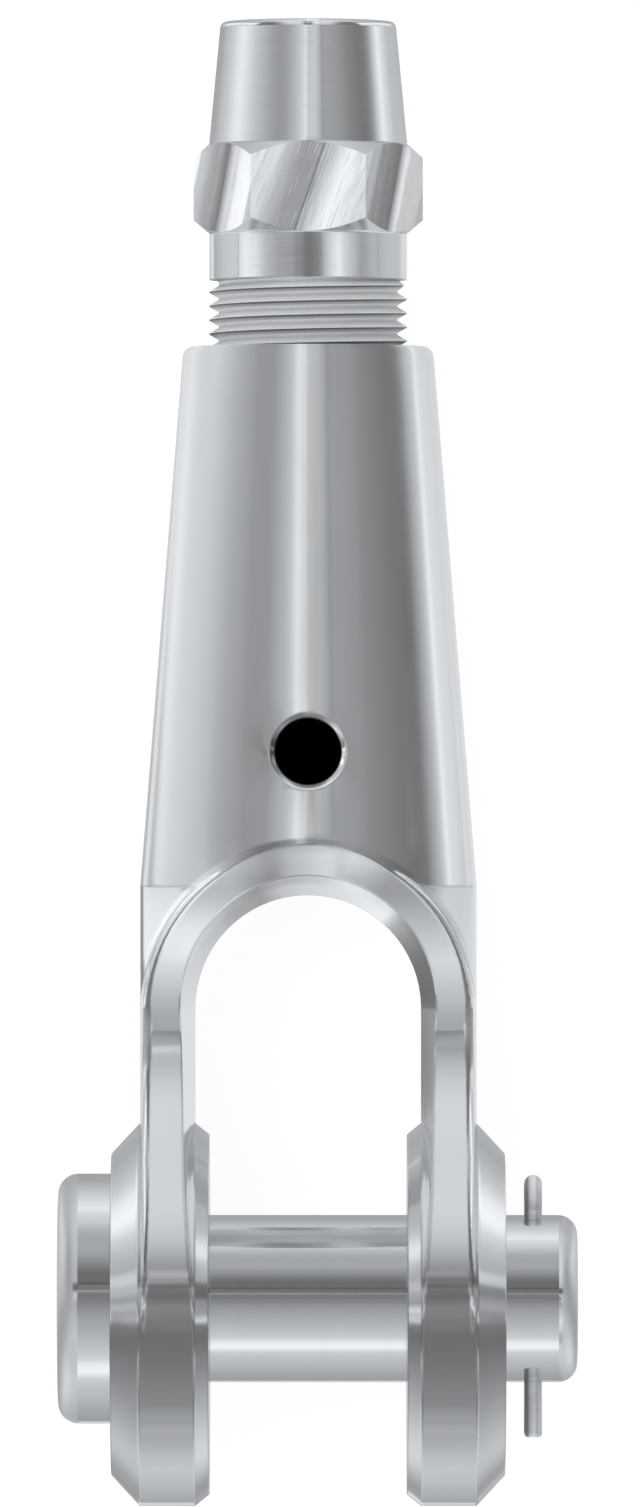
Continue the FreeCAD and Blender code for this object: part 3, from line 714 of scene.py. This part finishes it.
def rim_shade(group, aside, y, z):
    """Painted shade and painted light on the ears' rims by the angle round their centre."""
    above_ear = sum_of(group, "SUBTRACT", y, EAR_CENTRE * MM)
    round_ear = sum_of(group, "ARCTAN2", above_ear, sum_of(group, "ABSOLUTE", z))
    on_rim = product(group, between(group, aside, EAR_INSIDE, EAR_OUTSIDE, MM), fade(group, y, RIM_TOP, MM))
    return blend_of(group, on_rim, WHITE, shade_round(group, RIM_PAINTED_SHADES, round_ear))


def crown_shade(group, x, y, above_arch, off_arch):
    """Painted shade and painted light on the crown by the angle round the arch."""
    round_arch = sum_of(group, "ARCTAN2", x, above_arch)
    over_arch = between(group, off_arch, CROWN_INSIDE, CROWN_OUTSIDE, MM)
    on_crown = product(group, over_arch, fade(group, y, CROWN_FOOT, MM))
    return blend_of(group, on_crown, WHITE, shade_round(group, CROWN_PAINTED_SHADES, round_arch))


def outward_share(group, x, y, aside, off_arch):
    """How much of their lean the arms' faces have, and to which side: -1 to 1."""
    side = sum_of(group, "DIVIDE", x, LEAN_WIDTH * MM)
    side = sum_of(group, "MAXIMUM", sum_of(group, "MINIMUM", side, 1.0), -1.0)
    on_fork = largest(group, fade(group, y, ARM_TOP, MM), fade(group, off_arch, CROWN_OUTSIDE, MM))
    return product(group, side, fade(group, y, ARM_FOOT, MM), on_fork, fade(group, aside, ARM_OUTSIDE, MM))


def mouth_edge_group():
    """The rounding of the body's mouth, and a normal that carries the cone's shine over it."""
    inputs = (("Place", "NodeSocketVector", None), ("Taper", "NodeSocketFloat", CONE_TAPER))
    outputs = (("Share", "NodeSocketFloat"), ("Normal", "NodeSocketVector"))
    group, start, end = new_group("mouth_edge", inputs, outputs)
    x, y, z = parts_of(group, start.outputs["Place"])
    flat = joined(group, X=x, Z=z)
    radius = vector_of(group, "LENGTH", flat)
    share = product(group, fade(group, y, MOUTH_RISE, MM), fade(group, radius, MOUTH_SIDE, MM))
    rise = joined(group, Y=start.outputs["Taper"])
    slope = vector_of(group, "ADD", vector_of(group, "NORMALIZE", flat), rise)
    return put_out(group, end, Share=share, Normal=vector_of(group, "NORMALIZE", slope))


# A painted highlight round the rope's axis, in degrees from the top towards the split pin's side
CENTRE_HIGHLIGHT_SHADES = (
    (-90, 1.0), (-2, 1.0), (-0.8, 1.2), (0, 1.25), (4.2, 1.25), (5.7, 1.18), (6.7, 1.13), (8.5, 0.92),
    (10.5, 1.0), (90, 1.0),
)


def centre_shine_group():
    """A painted highlight in a line along the rope's axis, on the side with the inspection hole."""
    inputs = (
        ("Place", "NodeSocketVector", None),
        ("Strength", "NodeSocketFloat", 1.0),
        ("From", "NodeSocketFloat", CONE_SHINE_FROM * MM),
    )
    group, start, end = new_group("centre_shine", inputs, (("Tone", "NodeSocketFloat"),))
    x, y, z = parts_of(group, start.outputs["Place"])
    round_axis = sum_of(group, "ARCTAN2", x, sum_of(group, "MAXIMUM", z, MM))
    shine = sum_of(group, "SUBTRACT", shade_round(group, CENTRE_HIGHLIGHT_SHADES, round_axis), 1.0)
    past_start = fade(group, sum_of(group, "SUBTRACT", y, start.outputs["From"]), SHINE_START, MM)
    added = product(group, shine, past_start, start.outputs["Strength"])
    return put_out(group, end, Tone=sum_of(group, "ADD", added, 1.0))


# Finishes

# The forging: its roughness by place, how dull it is to light mirrored once, and its roundings
FORGED_TINT = (0.80, 0.81, 0.82)
# Painted near-black shade in the hollow and the inspection hole
HOLLOW_SHADE_TINT = (0.006, 0.006, 0.007, 1)
FORGED_CONTRAST = 0.05
SMOOTH_ROUGHNESS = 0.1
CLOUD_ROUGHNESS = 0.02
HOLLOW_ROUGHNESS = 0.9
MIRRORED_ROUGHNESS = 0.45
DRESSED_ROUGHNESS = 0.25
MIRRORED_DULL = 0.5
EDGE_ROUNDING = 0.6
DRESSED_ROUNDING = 0.8
FORGED_RELIEF = (0.1, 0.1)

# Turned steel: its tint, its roughness, and the contrast and strength of its rings
SLEEVE_LOOK = ((0.84, 0.85, 0.86), 0.104, 0.03, 0.06)
PIN_LOOK = ((0.78, 0.79, 0.80), 0.064, 0.03, 0.01)
PLUG_LOOK = ((0.62, 0.63, 0.64), 0.254, 0.15, 0.06)
RING_DISTANCE = 0.04
RING_ROUGHNESS = 0.04

# Ground steel and satin steel
HEXAGON_TINT = (0.93, 0.94, 0.95)
SCRATCH_LIGHT = 0.12
SCRATCH_ROUGHNESS = 0.08
SATIN_TINT = (0.96, 0.97, 0.98)

# The roundings of the clevis pin's head and of its other end, which are buffed dull
PIN_ENDS = ((-34.5, -35.2), (38.1, 38.8))
BUFFED_ROUGHNESS = 0.42


def new_finish(name, tint, roughness):
    """A bare metal: its material, node tree, shader and the place of each point on the object."""
    material = bpy.data.materials.new(name)
    material.use_nodes = True
    material.diffuse_color = (*tint, 1)
    tree = material.node_tree
    shader = tree.nodes["Principled BSDF"]
    shader.inputs["Base Color"].default_value = (*tint, 1)
    shader.inputs["Metallic"].default_value = 1.0
    shader.inputs["Roughness"].default_value = roughness
    place = tree.nodes.new("ShaderNodeTexCoord").outputs["Object"]
    return material, tree, shader, place


def tinted(tree, tint, tone):
    """The metal's tint, made lighter or darker by a tone round 1."""
    grey = add_node(tree, "ShaderNodeCombineColor", {"Red": tone, "Green": tone, "Blue": tone})
    return blend_of(tree, 1.0, (*tint, 1), grey.outputs[0], "MULTIPLY")


def add_bump(tree, shader, height, strength, distance, normal=None):
    """Fine relief on a finish, over the mesh's own normal or over another."""
    values = {"Height": height, "Strength": strength, "Distance": distance * MM}
    if normal:
        values["Normal"] = normal
    bump = add_node(tree, "ShaderNodeBump", values)
    tree.links.new(bump.outputs["Normal"], shader.inputs["Normal"])


def forged_finish(skin_group, hollow_group, fork_group, mouth_group, shine_group):
    """Bright smooth forging, with painted shade on its ears and painted near-black shade in its hollow. It
    looks satin to light that has been mirrored once, because narrow gaps between mirrors go black otherwise."""
    material, tree, shader, place = new_finish("bright_forging", FORGED_TINT, SMOOTH_ROUGHNESS)
    grain = use_group(tree, skin_group, Place=place, Contrast=FORGED_CONTRAST)
    inside = use_group(tree, hollow_group, Place=place)
    fork = use_group(tree, fork_group, Place=place)
    mouth = use_group(tree, mouth_group, Place=place)
    shine = use_group(tree, shine_group, Place=place)
    hollow = inside["Mask"]
    # This tone carries the fork's painted shade and light, the countersink's, and the painted highlight
    # along the centre line
    tone = product(tree, grain["Tone"], fork["Tone"], inside["Rim"], shine["Tone"])
    colour = blend_of(tree, hollow, tinted(tree, FORGED_TINT, tone), HOLLOW_SHADE_TINT)
    depth = tree.nodes.new("ShaderNodeLightPath").outputs["Glossy Depth"]
    mirrored = sum_of(tree, "MINIMUM", depth, 1.0)
    dull = sum_of(tree, "MAXIMUM", hollow, product(tree, mirrored, MIRRORED_DULL))
    metallic = sum_of(tree, "SUBTRACT", 1.0, dull)
    smooth = sum_of(tree, "MULTIPLY_ADD", grain["Dullness"], CLOUD_ROUGHNESS, SMOOTH_ROUGHNESS)
    hollow_rough = product(tree, hollow, HOLLOW_ROUGHNESS)
    satin = product(tree, mirrored, MIRRORED_ROUGHNESS)
    dressed = product(tree, fork["Dressed"], DRESSED_ROUGHNESS)
    rough = largest(tree, smooth, hollow_rough, satin, dressed)
    tree.links.new(colour, shader.inputs["Base Color"])
    tree.links.new(metallic, shader.inputs["Metallic"])
    tree.links.new(rough, shader.inputs["Roughness"])
    add_bump(tree, shader, grain["Height"], *FORGED_RELIEF, forged_normal(tree, fork, mouth))
    return material


def forged_normal(tree, fork, mouth):
    """Normal of the forging: its edges are rounded, more so where they are dressed smooth, the
    mouth's rounding follows the cone, and the arms' faces lean."""
    reach = sum_of(tree, "MULTIPLY_ADD", fork["Dressed"], DRESSED_ROUNDING * MM, EDGE_ROUNDING * MM)
    rounded = add_node(tree, "ShaderNodeBevel", {"Radius": reach}, samples=8).outputs["Normal"]
    edge = blend_of(tree, mouth["Share"], rounded, mouth["Normal"])
    leaning = vector_of(tree, "ADD", edge, joined(tree, X=fork["Lean"]))
    return vector_of(tree, "NORMALIZE", leaning)


# Painted shade and painted light round the clevis pin, in degrees from its top towards the sleeve
PIN_PAINTED_SHADES = (
    (-90, 1.0), (-0.5, 1.0), (1.9, 1.25), (4.3, 1.25), (4.8, 0.98), (5.3, 0.7), (6.0, 0.42), (6.6, 0.32),
    (7.4, 0.31), (8.0, 0.36), (8.7, 0.57), (9.3, 0.86), (9.9, 1.0), (90, 1.0),
)

# How far a round face of the clevis pin may turn to its ends, as the X of its normal
ROUND_FACE = (0.3, 0.1)


def pin_shade(tree, place):
    """A painted dark line along the clevis pin with painted light beside it, on its round faces only."""
    y, z = parts_of(tree, place)[1:]
    outward = tree.nodes.new("ShaderNodeNewGeometry").outputs["Normal"]
    to_end = sum_of(tree, "ABSOLUTE", parts_of(tree, outward)["X"])
    shade = shade_round(tree, PIN_PAINTED_SHADES, sum_of(tree, "ARCTAN2", y, z))
    change = product(tree, sum_of(tree, "SUBTRACT", shade, 1.0), fade(tree, to_end, ROUND_FACE))
    return sum_of(tree, "ADD", change, 1.0)


def turned_finish(name, marks_group, axis, look, shade=None, buffed=()):
    """Turned steel with the lathe's rings round an axis. shade gives a tone by place, and ends are
    buffed dull past the edges along X that buffed gives."""
    tint, roughness, contrast, depth = look
    material, tree, shader, place = new_finish(name, tint, roughness)
    marks = use_group(tree, marks_group, Place=place, Axis=axis, Contrast=contrast)
    tone = product(tree, marks["Tone"], shade(tree, place)) if shade else marks["Tone"]
    tree.links.new(tinted(tree, tint, tone), shader.inputs["Base Color"])
    evened = roughness - RING_ROUGHNESS * RING_MIDDLE
    rough = sum_of(tree, "MULTIPLY_ADD", marks["Height"], RING_ROUGHNESS, evened)
    along = parts_of(tree, place)["X"]
    ends = [product(tree, fade(tree, along, edge, MM), BUFFED_ROUGHNESS) for edge in buffed]
    tree.links.new(largest(tree, rough, *ends), shader.inputs["Roughness"])
    add_bump(tree, shader, marks["Height"], depth, RING_DISTANCE)
    return material


# Painted light and painted shade of one thread, each stop (share of the pitch, shade), from its crest up its
# upper side to the root and on to the next crest
THREAD_PAINTED_SHADES = (
    (0.0, 1.0), (0.16, 1.0), (0.25, 0.9), (0.36, 0.76), (0.46, 0.66), (0.53, 0.66), (0.58, 1.0),
    (0.66, 1.0), (0.72, 0.62), (0.84, 0.42), (0.9, 0.12), (0.97, 0.12), (1.0, 0.85),
)

# Painted light and painted shade across the split pin's wire, from its side by the clevis pin's head to the
# other
WIRE_PAINTED_SHADES = ((0.2, 0.4), (0.27, 0.8), (0.38, 1.0), (0.6, 1.0), (0.67, 0.72), (1.0, 0.66))

# Satin steel's roughness and how much of a metal it is
THREAD_SATIN = (0.35, 0.25)
WIRE_SATIN = (0.36, 0.15)


def satin_finish(name, satin, across, shades):
    """Satin steel, with painted light and painted shade by the place across its form."""
    roughness, metallic = satin
    material, tree, shader, place = new_finish(name, SATIN_TINT, roughness)
    shader.inputs["Metallic"].default_value = metallic
    shade = grey_ramp(tree, across(tree, place), shades)
    tree.links.new(tinted(tree, SATIN_TINT, shade), shader.inputs["Base Color"])
    return material


def across_thread(tree, place):
    """Place across the sleeve's thread: 0 on one crest and 1 on the next."""
    x, y, z = parts_of(tree, place)
    level = sum_of(tree, "DIVIDE", sum_of(tree, "SUBTRACT", y, THREAD_PHASE * MM), PITCH * MM)
    turns = product(tree, turned_round(tree, x, z), 1 / TURN)
    return sum_of(tree, "FRACT", sum_of(tree, "SUBTRACT", level, turns))


def across_wire(tree, place):
    """Place across the split pin's wire: 0 on its side by the clevis pin's head, 1 on the other."""
    aside = sum_of(tree, "SUBTRACT", parts_of(tree, place)["X"], (COTTER_PLACE - WIRE_RADIUS) * MM)
    return sum_of(tree, "DIVIDE", aside, 2 * WIRE_RADIUS * MM)


def hexagon_finish(flats_group):
    """The sleeve's flats: grinding scratches, and painted reflection bands that slant across them."""
    material, tree, shader, place = new_finish("ground_hexagon", HEXAGON_TINT, SMOOTH_ROUGHNESS)
    flats = use_group(tree, flats_group, Place=place)
    tone = sum_of(tree, "MULTIPLY_ADD", flats["Scratches"], SCRATCH_LIGHT, flats["Tone"])
    tree.links.new(tinted(tree, HEXAGON_TINT, tone), shader.inputs["Base Color"])
    rough = sum_of(tree, "MULTIPLY_ADD", flats["Scratches"], SCRATCH_ROUGHNESS, SMOOTH_ROUGHNESS)
    tree.links.new(rough, shader.inputs["Roughness"])
    tree.links.new(flats["Normal"], shader.inputs["Normal"])
    return material


def wear(piece, *materials):
    """Puts materials on a piece in place of those that it has."""
    piece.data.materials.clear()
    for material in materials:
        piece.data.materials.append(material)


# A face that looks outward at least this squarely is one of the hexagon's flats
FLAT_SQUARENESS = 0.98


def share_out(piece, flats, thread):
    """Gives the hexagon's six flats and the thread's ridge the materials at two indices."""
    for face in piece.data.polygons:
        middle = face.center / MM
        radius = math.hypot(middle.x, middle.z)
        square = math.hypot(face.normal.x, face.normal.z) > FLAT_SQUARENESS
        if HEX_LEVEL < middle.y < NOSE_LEVEL and square and radius > CORE_RADIUS:
            face.material_index = flats
        elif SLEEVE_END + 1 < middle.y < COLLAR_LEVEL and radius > CORE_RADIUS - SUNK / 2:
            face.material_index = thread


# The studio. Each table gives the tones that one part of the fitting mirrors, as (degrees, screen
# tone) round a circle of directions.

BARREL_TONES = (
    (-180, 205), (-150, 221), (-132, 234), (-116, 216), (-96, 204), (-80, 189), (-66, 171), (-52, 158),
    (-47, 150), (-31, 150), (-24, 170), (-18, 184), (-13, 205), (-9, 240), (-5, 224), (-2.2, 204),
    (-0.9, 174), (0.9, 165), (2.4, 170), (6, 158), (39, 148), (46, 138), (72, 119), (84, 104), (90, 106),
    (96, 140), (104, 178), (110, 208), (114, 240), (120, 222), (139, 212), (180, 203),
)
NOSE_TONES = (
    (-180, 150), (-143, 160), (-114, 199), (-100, 226), (-92, 234), (-77, 210), (-62, 189), (-48, 167),
    (-35, 148), (-26, 152), (-17, 174), (-12, 188), (-7, 204), (-5, 228), (-2.4, 230), (-0.9, 192),
    (0.9, 180), (2.4, 196), (7, 186), (12, 175), (17, 152), (40, 148), (53, 130), (67, 116),
    (78, 116), (85, 150), (92, 200), (101, 238), (110, 210), (123, 183), (150, 178), (180, 160),
)
COLLAR_TONES = (
    (-180, 165), (-157, 120), (-146, 158), (-114, 194), (-94, 204), (-78, 246), (-63, 234), (-50, 190),
    (-32, 150), (-20, 132), (-8, 118), (4, 108), (10, 100), (15, 126), (21, 186), (27, 220), (36, 252),
    (44, 220), (65, 154), (79, 172), (104, 188), (130, 185), (140, 200), (150, 242), (165, 242),
    (172, 180), (180, 180),
)
THREAD_TONES = ((-180, 225), (-60, 235), (-20, 245), (20, 245), (60, 240), (180, 225))
PIN_TONES = (
    (-180, 148), (-164, 148), (-150, 156), (-125, 168), (-103, 186), (-85, 198), (-77, 212), (-70, 246),
    (-62, 238), (-55, 208), (-42, 192), (-29, 176), (-16, 162), (-7, 146), (-2, 130), (3, 109), (26, 109),
    (30, 124), (36, 142), (42, 158), (47, 168), (61, 168), (70, 184), (76, 202), (86, 216), (93, 234),
    (103, 222), (113, 205), (142, 166), (180, 148),
)
ARM_TONES = (
    (-180, 170), (-150, 165), (-120, 180), (-100, 200), (-80, 206), (-67, 204), (-63, 182), (-57, 170),
    (-51, 178), (-46, 196), (-39, 214), (-29, 223), (-18, 197), (-8, 172), (-1, 160), (6, 164),
    (16, 182), (28, 202), (39, 212), (64, 212), (80, 206), (100, 200), (120, 180), (150, 165), (180, 170),
)
SLOT_TONES = (
    (-180, 214), (-90, 214), (-72, 205), (-56, 197), (-40, 181), (-32, 164), (-16, 150), (-9, 186),
    (0, 203), (16, 219), (33, 232), (37, 190), (40, 168), (48, 141), (56, 123), (64, 111), (82, 104),
    (92, 150), (180, 170),
)
LEG_TONES = (
    (-180, 217), (-172, 215), (-167, 170), (-160, 170), (-154, 236), (-140, 246), (-104, 254),
    (-90, 235), (0, 150), (90, 150), (108, 226), (130, 217), (158, 212), (180, 212),
)
BEVEL_TONES = (
    (-45, 226), (-40, 214), (-36, 201), (-32, 186), (-28, 171), (-24, 157), (-19, 142), (-14, 129),
    (-9, 114), (-4, 122), (1, 144), (7, 162), (12, 177), (17, 190), (21, 206), (25, 238), (29, 224),
    (33, 186), (37, 172), (45, 160),
)

# Tone of the room aside and above, and how far round and how strongly the bevels' bands reach
SHADE_TONE = 112
BEVEL_REACH = 45
BEVEL_GAIN = 1.15

# The share of light that the metal gives back, and how cool the light is in red, green and blue
METAL_SHARE = 0.8
COOL = (0.965, 0.985, 1.01)

# Zones of the studio, as soft edges on a direction's X (taken as positive), Y and Z
ARM_SIDE = (0.07, 0.13)
BEVEL_SIDE = (0.35, 0.7)
RAISED = (0.2, 0.3)
TOWARDS_FORK = (-0.25, -0.35)
THREAD_SIDE = (0.24, 0.3)
THREAD_RAISED = (0.0, 0.1)
THREAD_FOOT = (-0.055, -0.04)
THREAD_TOP = (0.0, -0.006)
LEG_LOWERED = (-0.05, -0.15)
COLLAR_FOOT = (0.004, 0.014)
COLLAR_TOP = (0.06, 0.05)
COLLAR_OFF_LEVEL = (0.004, 0.02)
COLLAR_BACK = (150, 140)
SLOT_FOOT = (-0.985, -0.97)
SLOT_TOP = (-0.9, -0.94)
SLOT_AHEAD = (0.06, 0.0)

# The directions that the cone mirrors have their Y at this level, times the cosine of half their
# angle across
CONE_LEVEL = 0.1594
CONE_FOOT = (-0.03, -0.015)
CONE_TOP = (0.1, 0.085)
NOSE_START = (0.028, 0.04)


def linear(tone):
    """A tone on the 0 to 255 screen scale as plain light."""
    share = tone / 255
    return share / 12.92 if share <= 0.04045 else ((share + 0.055) / 1.055) ** 2.4


def studio_tones(tree, tones, angle, reach=180, gain=1.0):
    """Light by an angle of up to reach degrees either way, a touch cool. Metal that gives back its
    share of it shows the tones."""
    place = sum_of(tree, "MULTIPLY_ADD", angle, 0.5 / (reach * DEGREE), 0.5)
    stops = []
    for degrees, tone in tones:
        light = linear(tone) * gain / METAL_SHARE
        stops.append(((degrees + reach) / (2 * reach), (*(light * part for part in COOL), 1)))
    return ramp_of(tree, place, stops)


def fork_light(tree, y, z, sideways):
    """What the clevis pin, the arms and the ears' bevels mirror."""
    lengthways = sum_of(tree, "ARCTAN2", y, z)
    pin = studio_tones(tree, PIN_TONES, lengthways)
    arm = studio_tones(tree, ARM_TONES, lengthways)
    slant = sum_of(tree, "ARCTAN2", y, sideways)
    bevel = studio_tones(tree, BEVEL_TONES, slant, BEVEL_REACH, BEVEL_GAIN)
    shade = linear(SHADE_TONE) / METAL_SHARE
    raised = fade(tree, z, RAISED)
    middle = blend_of(tree, fade(tree, sideways, ARM_SIDE), pin, arm)
    aside = blend_of(tree, raised, bevel, (shade, shade, shade, 1))
    aside = blend_of(tree, product(tree, raised, fade(tree, y, TOWARDS_FORK)), aside, arm)
    return blend_of(tree, fade(tree, sideways, BEVEL_SIDE), middle, aside)


def cone_light(tree, under, y, across):
    """What the body's cone and the sleeve's nose mirror, laid over the light under it."""
    halved = sum_of(tree, "COSINE", product(tree, across, 0.5))
    over_cone = sum_of(tree, "SUBTRACT", y, product(tree, halved, CONE_LEVEL))
    barrel = studio_tones(tree, BARREL_TONES, across)
    nose = studio_tones(tree, NOSE_TONES, across)
    light = blend_of(tree, fade(tree, over_cone, NOSE_START), barrel, nose)
    return blend_of(tree, between(tree, over_cone, CONE_FOOT, CONE_TOP), under, light)


def collar_light(tree, under, y, z, across):
    """What the sleeve's collar mirrors, laid over the light under it."""
    light = studio_tones(tree, COLLAR_TONES, across)
    off_level = fade(tree, sum_of(tree, "ABSOLUTE", z), COLLAR_OFF_LEVEL)
    in_front = fade(tree, sum_of(tree, "ABSOLUTE", across), COLLAR_BACK, DEGREE)
    share = product(tree, between(tree, y, COLLAR_FOOT, COLLAR_TOP), off_level, in_front)
    return blend_of(tree, share, under, light)


def thread_light(tree, under, y, z, sideways, across):
    """What the thread's root and the split pin's sides mirror, laid over the light under it."""
    level = between(tree, y, THREAD_FOOT, THREAD_TOP)
    raised = product(tree, fade(tree, sideways, THREAD_SIDE), fade(tree, z, THREAD_RAISED))
    thread = studio_tones(tree, THREAD_TONES, across)
    leg = studio_tones(tree, LEG_TONES, across)
    light = blend_of(tree, product(tree, level, raised), under, thread)
    return blend_of(tree, product(tree, level, fade(tree, z, LEG_LOWERED)), light, leg)


def slot_light(tree, under, x, y, z):
    """What the steep wall round the slot between the arms mirrors, laid over the light under it."""
    round_slot = sum_of(tree, "ARCTAN2", product(tree, x, -1.0), product(tree, y, -1.0))
    light = studio_tones(tree, SLOT_TONES, round_slot)
    share = product(tree, between(tree, z, SLOT_FOOT, SLOT_TOP), fade(tree, y, SLOT_AHEAD))
    return blend_of(tree, share, under, light)


def light_world():
    """A studio of soft vertical and level bands. The eye sees plain white behind the object."""
    world = bpy.data.worlds.new("studio")
    bpy.context.scene.world = world
    world.use_nodes = True
    tree = world.node_tree
    tree.nodes.clear()
    x, y, z = parts_of(tree, tree.nodes.new("ShaderNodeTexCoord").outputs["Generated"])
    sideways = sum_of(tree, "ABSOLUTE", x)
    across = sum_of(tree, "ARCTAN2", x, z)
    light = fork_light(tree, y, z, sideways)
    light = cone_light(tree, light, y, across)
    light = collar_light(tree, light, y, z, across)
    light = thread_light(tree, light, y, z, sideways, across)
    light = slot_light(tree, light, x, y, z)
    seen = tree.nodes.new("ShaderNodeLightPath").outputs["Is Camera Ray"]
    colour = blend_of(tree, seen, light, WHITE)
    background = add_node(tree, "ShaderNodeBackground", {"Color": colour, "Strength": 1.0})
    output = tree.nodes.new("ShaderNodeOutputWorld")
    tree.links.new(background.outputs[0], output.inputs["Surface"])


# Floor, lamp and camera, in metres

FLOOR_REACH = 3.0
FLOOR_TILT = 3.24 * DEGREE
FLOOR_PLACE = (0, -0.00076, -0.02907)
FLOOR_GREY = (0.25, 0.25, 0.25, 1)
FLOOR_GLOW = 0.88
LAMP_WIDTH = 0.9
LAMP_POWER = 6.0
LAMP_PLACE = (-0.5, 0.35, 1.4)
LAMP_AIM = (0, 0.08, 0)
FILM_HEIGHT = 36.0
LENS = 400.0
CAMERA_PLACE = (0.0018, 0.0829, 2.547)
SIGHT = 50.0


def add_floor():
    """Pale floor under the ears' rims and the body's shoulder. It keeps a faint shadow."""
    bm = bmesh.new()
    bmesh.ops.create_grid(bm, x_segments=8, y_segments=8, size=FLOOR_REACH)
    mesh = bpy.data.meshes.new("floor")
    bm.to_mesh(mesh)
    bm.free()
    floor = bpy.data.objects.new("floor", mesh)
    bpy.context.scene.collection.objects.link(floor)
    floor.location = FLOOR_PLACE
    floor.rotation_euler = (FLOOR_TILT, 0, 0)
    floor.data.materials.append(floor_finish())
    floor.visible_glossy = False
    floor.visible_shadow = False


def floor_finish():
    """Matt grey that glows, so that a shadow only takes a little from it."""
    material = bpy.data.materials.new("pale_floor")
    material.use_nodes = True
    tree = material.node_tree
    tree.nodes.clear()
    matt = add_node(tree, "ShaderNodeBsdfDiffuse", {"Color": FLOOR_GREY})
    glow = add_node(tree, "ShaderNodeEmission", {"Color": WHITE, "Strength": FLOOR_GLOW})
    both = add_node(tree, "ShaderNodeAddShader", {0: matt.outputs[0], 1: glow.outputs[0]})
    output = tree.nodes.new("ShaderNodeOutputMaterial")
    tree.links.new(both.outputs[0], output.inputs["Surface"])
    return material


def add_lamp():
    """Soft lamp from above, for the floor's shadow and for what isn't bare metal."""
    light = bpy.data.lights.new("soft_lamp", "AREA")
    light.shape = "DISK"
    light.size = LAMP_WIDTH
    light.energy = LAMP_POWER
    lamp = bpy.data.objects.new("soft_lamp", light)
    bpy.context.scene.collection.objects.link(lamp)
    lamp.location = LAMP_PLACE
    aim = Vector(LAMP_AIM) - Vector(LAMP_PLACE)
    lamp.rotation_euler = aim.to_track_quat("-Z", "Y").to_euler()
    lamp.visible_glossy = False


def add_camera():
    """Long lens straight above, with the rope's end at the top of the picture."""
    view = bpy.data.cameras.new("camera")
    view.sensor_fit = "VERTICAL"
    view.sensor_height = FILM_HEIGHT
    view.lens = LENS
    view.clip_end = SIGHT
    camera = bpy.data.objects.new("camera", view)
    bpy.context.scene.collection.objects.link(camera)
    camera.location = CAMERA_PLACE
    bpy.context.scene.camera = camera


def finish_body(piece, mouth_thread, shine):
    """Forged finish on the body and on the thread in its mouth."""
    groups = (forged_skin_group(), hollow_mask_group(), fork_skin_group(), mouth_edge_group(), shine)
    forging = forged_finish(*groups)
    wear(piece, forging)
    wear(mouth_thread, forging)


def finish_sleeve(piece, marks, shine):
    """Turned steel on the sleeve, ground on its hexagon and satin on its thread."""

    def nose_shine(tree, place):
        """A painted highlight in a line along the nose."""
        return use_group(tree, shine, Place=place, Strength=NOSE_SHINE, From=NOSE_LEVEL * MM)["Tone"]

    turned = turned_finish("turned_sleeve_steel", marks, (0, 1, 0), SLEEVE_LOOK, nose_shine)
    ground = hexagon_finish(ground_flats_group())
    cut = satin_finish("cut_thread_steel", THREAD_SATIN, across_thread, THREAD_PAINTED_SHADES)
    wear(piece, turned, ground, cut)
    share_out(piece, 1, 2)


def main():
    """Makes the pieces, puts a finish on each and sets up the studio, floor, lamp and camera."""
    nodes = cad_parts
    marks = lathe_marks_group()
    shine = centre_shine_group()
    finish_sleeve(make_sleeve(), marks, shine)
    finish_body(nodes["clevis_socket"], make_mouth_thread(), shine)
    wear(nodes["wedge_plug"], turned_finish("turned_plug_steel", marks, (0, 1, 0), PLUG_LOOK))
    pin_steel = turned_finish("turned_pin_steel", marks, (1, 0, 0), PIN_LOOK, pin_shade, PIN_ENDS)
    wear(nodes["clevis_pin"], pin_steel)
    wear(make_cotter(), satin_finish("drawn_wire", WIRE_SATIN, across_wire, WIRE_PAINTED_SHADES))
    light_world()
    add_floor()
    add_lamp()
    add_camera()


bpy.context.scene.view_settings.view_transform = "Standard"
main()
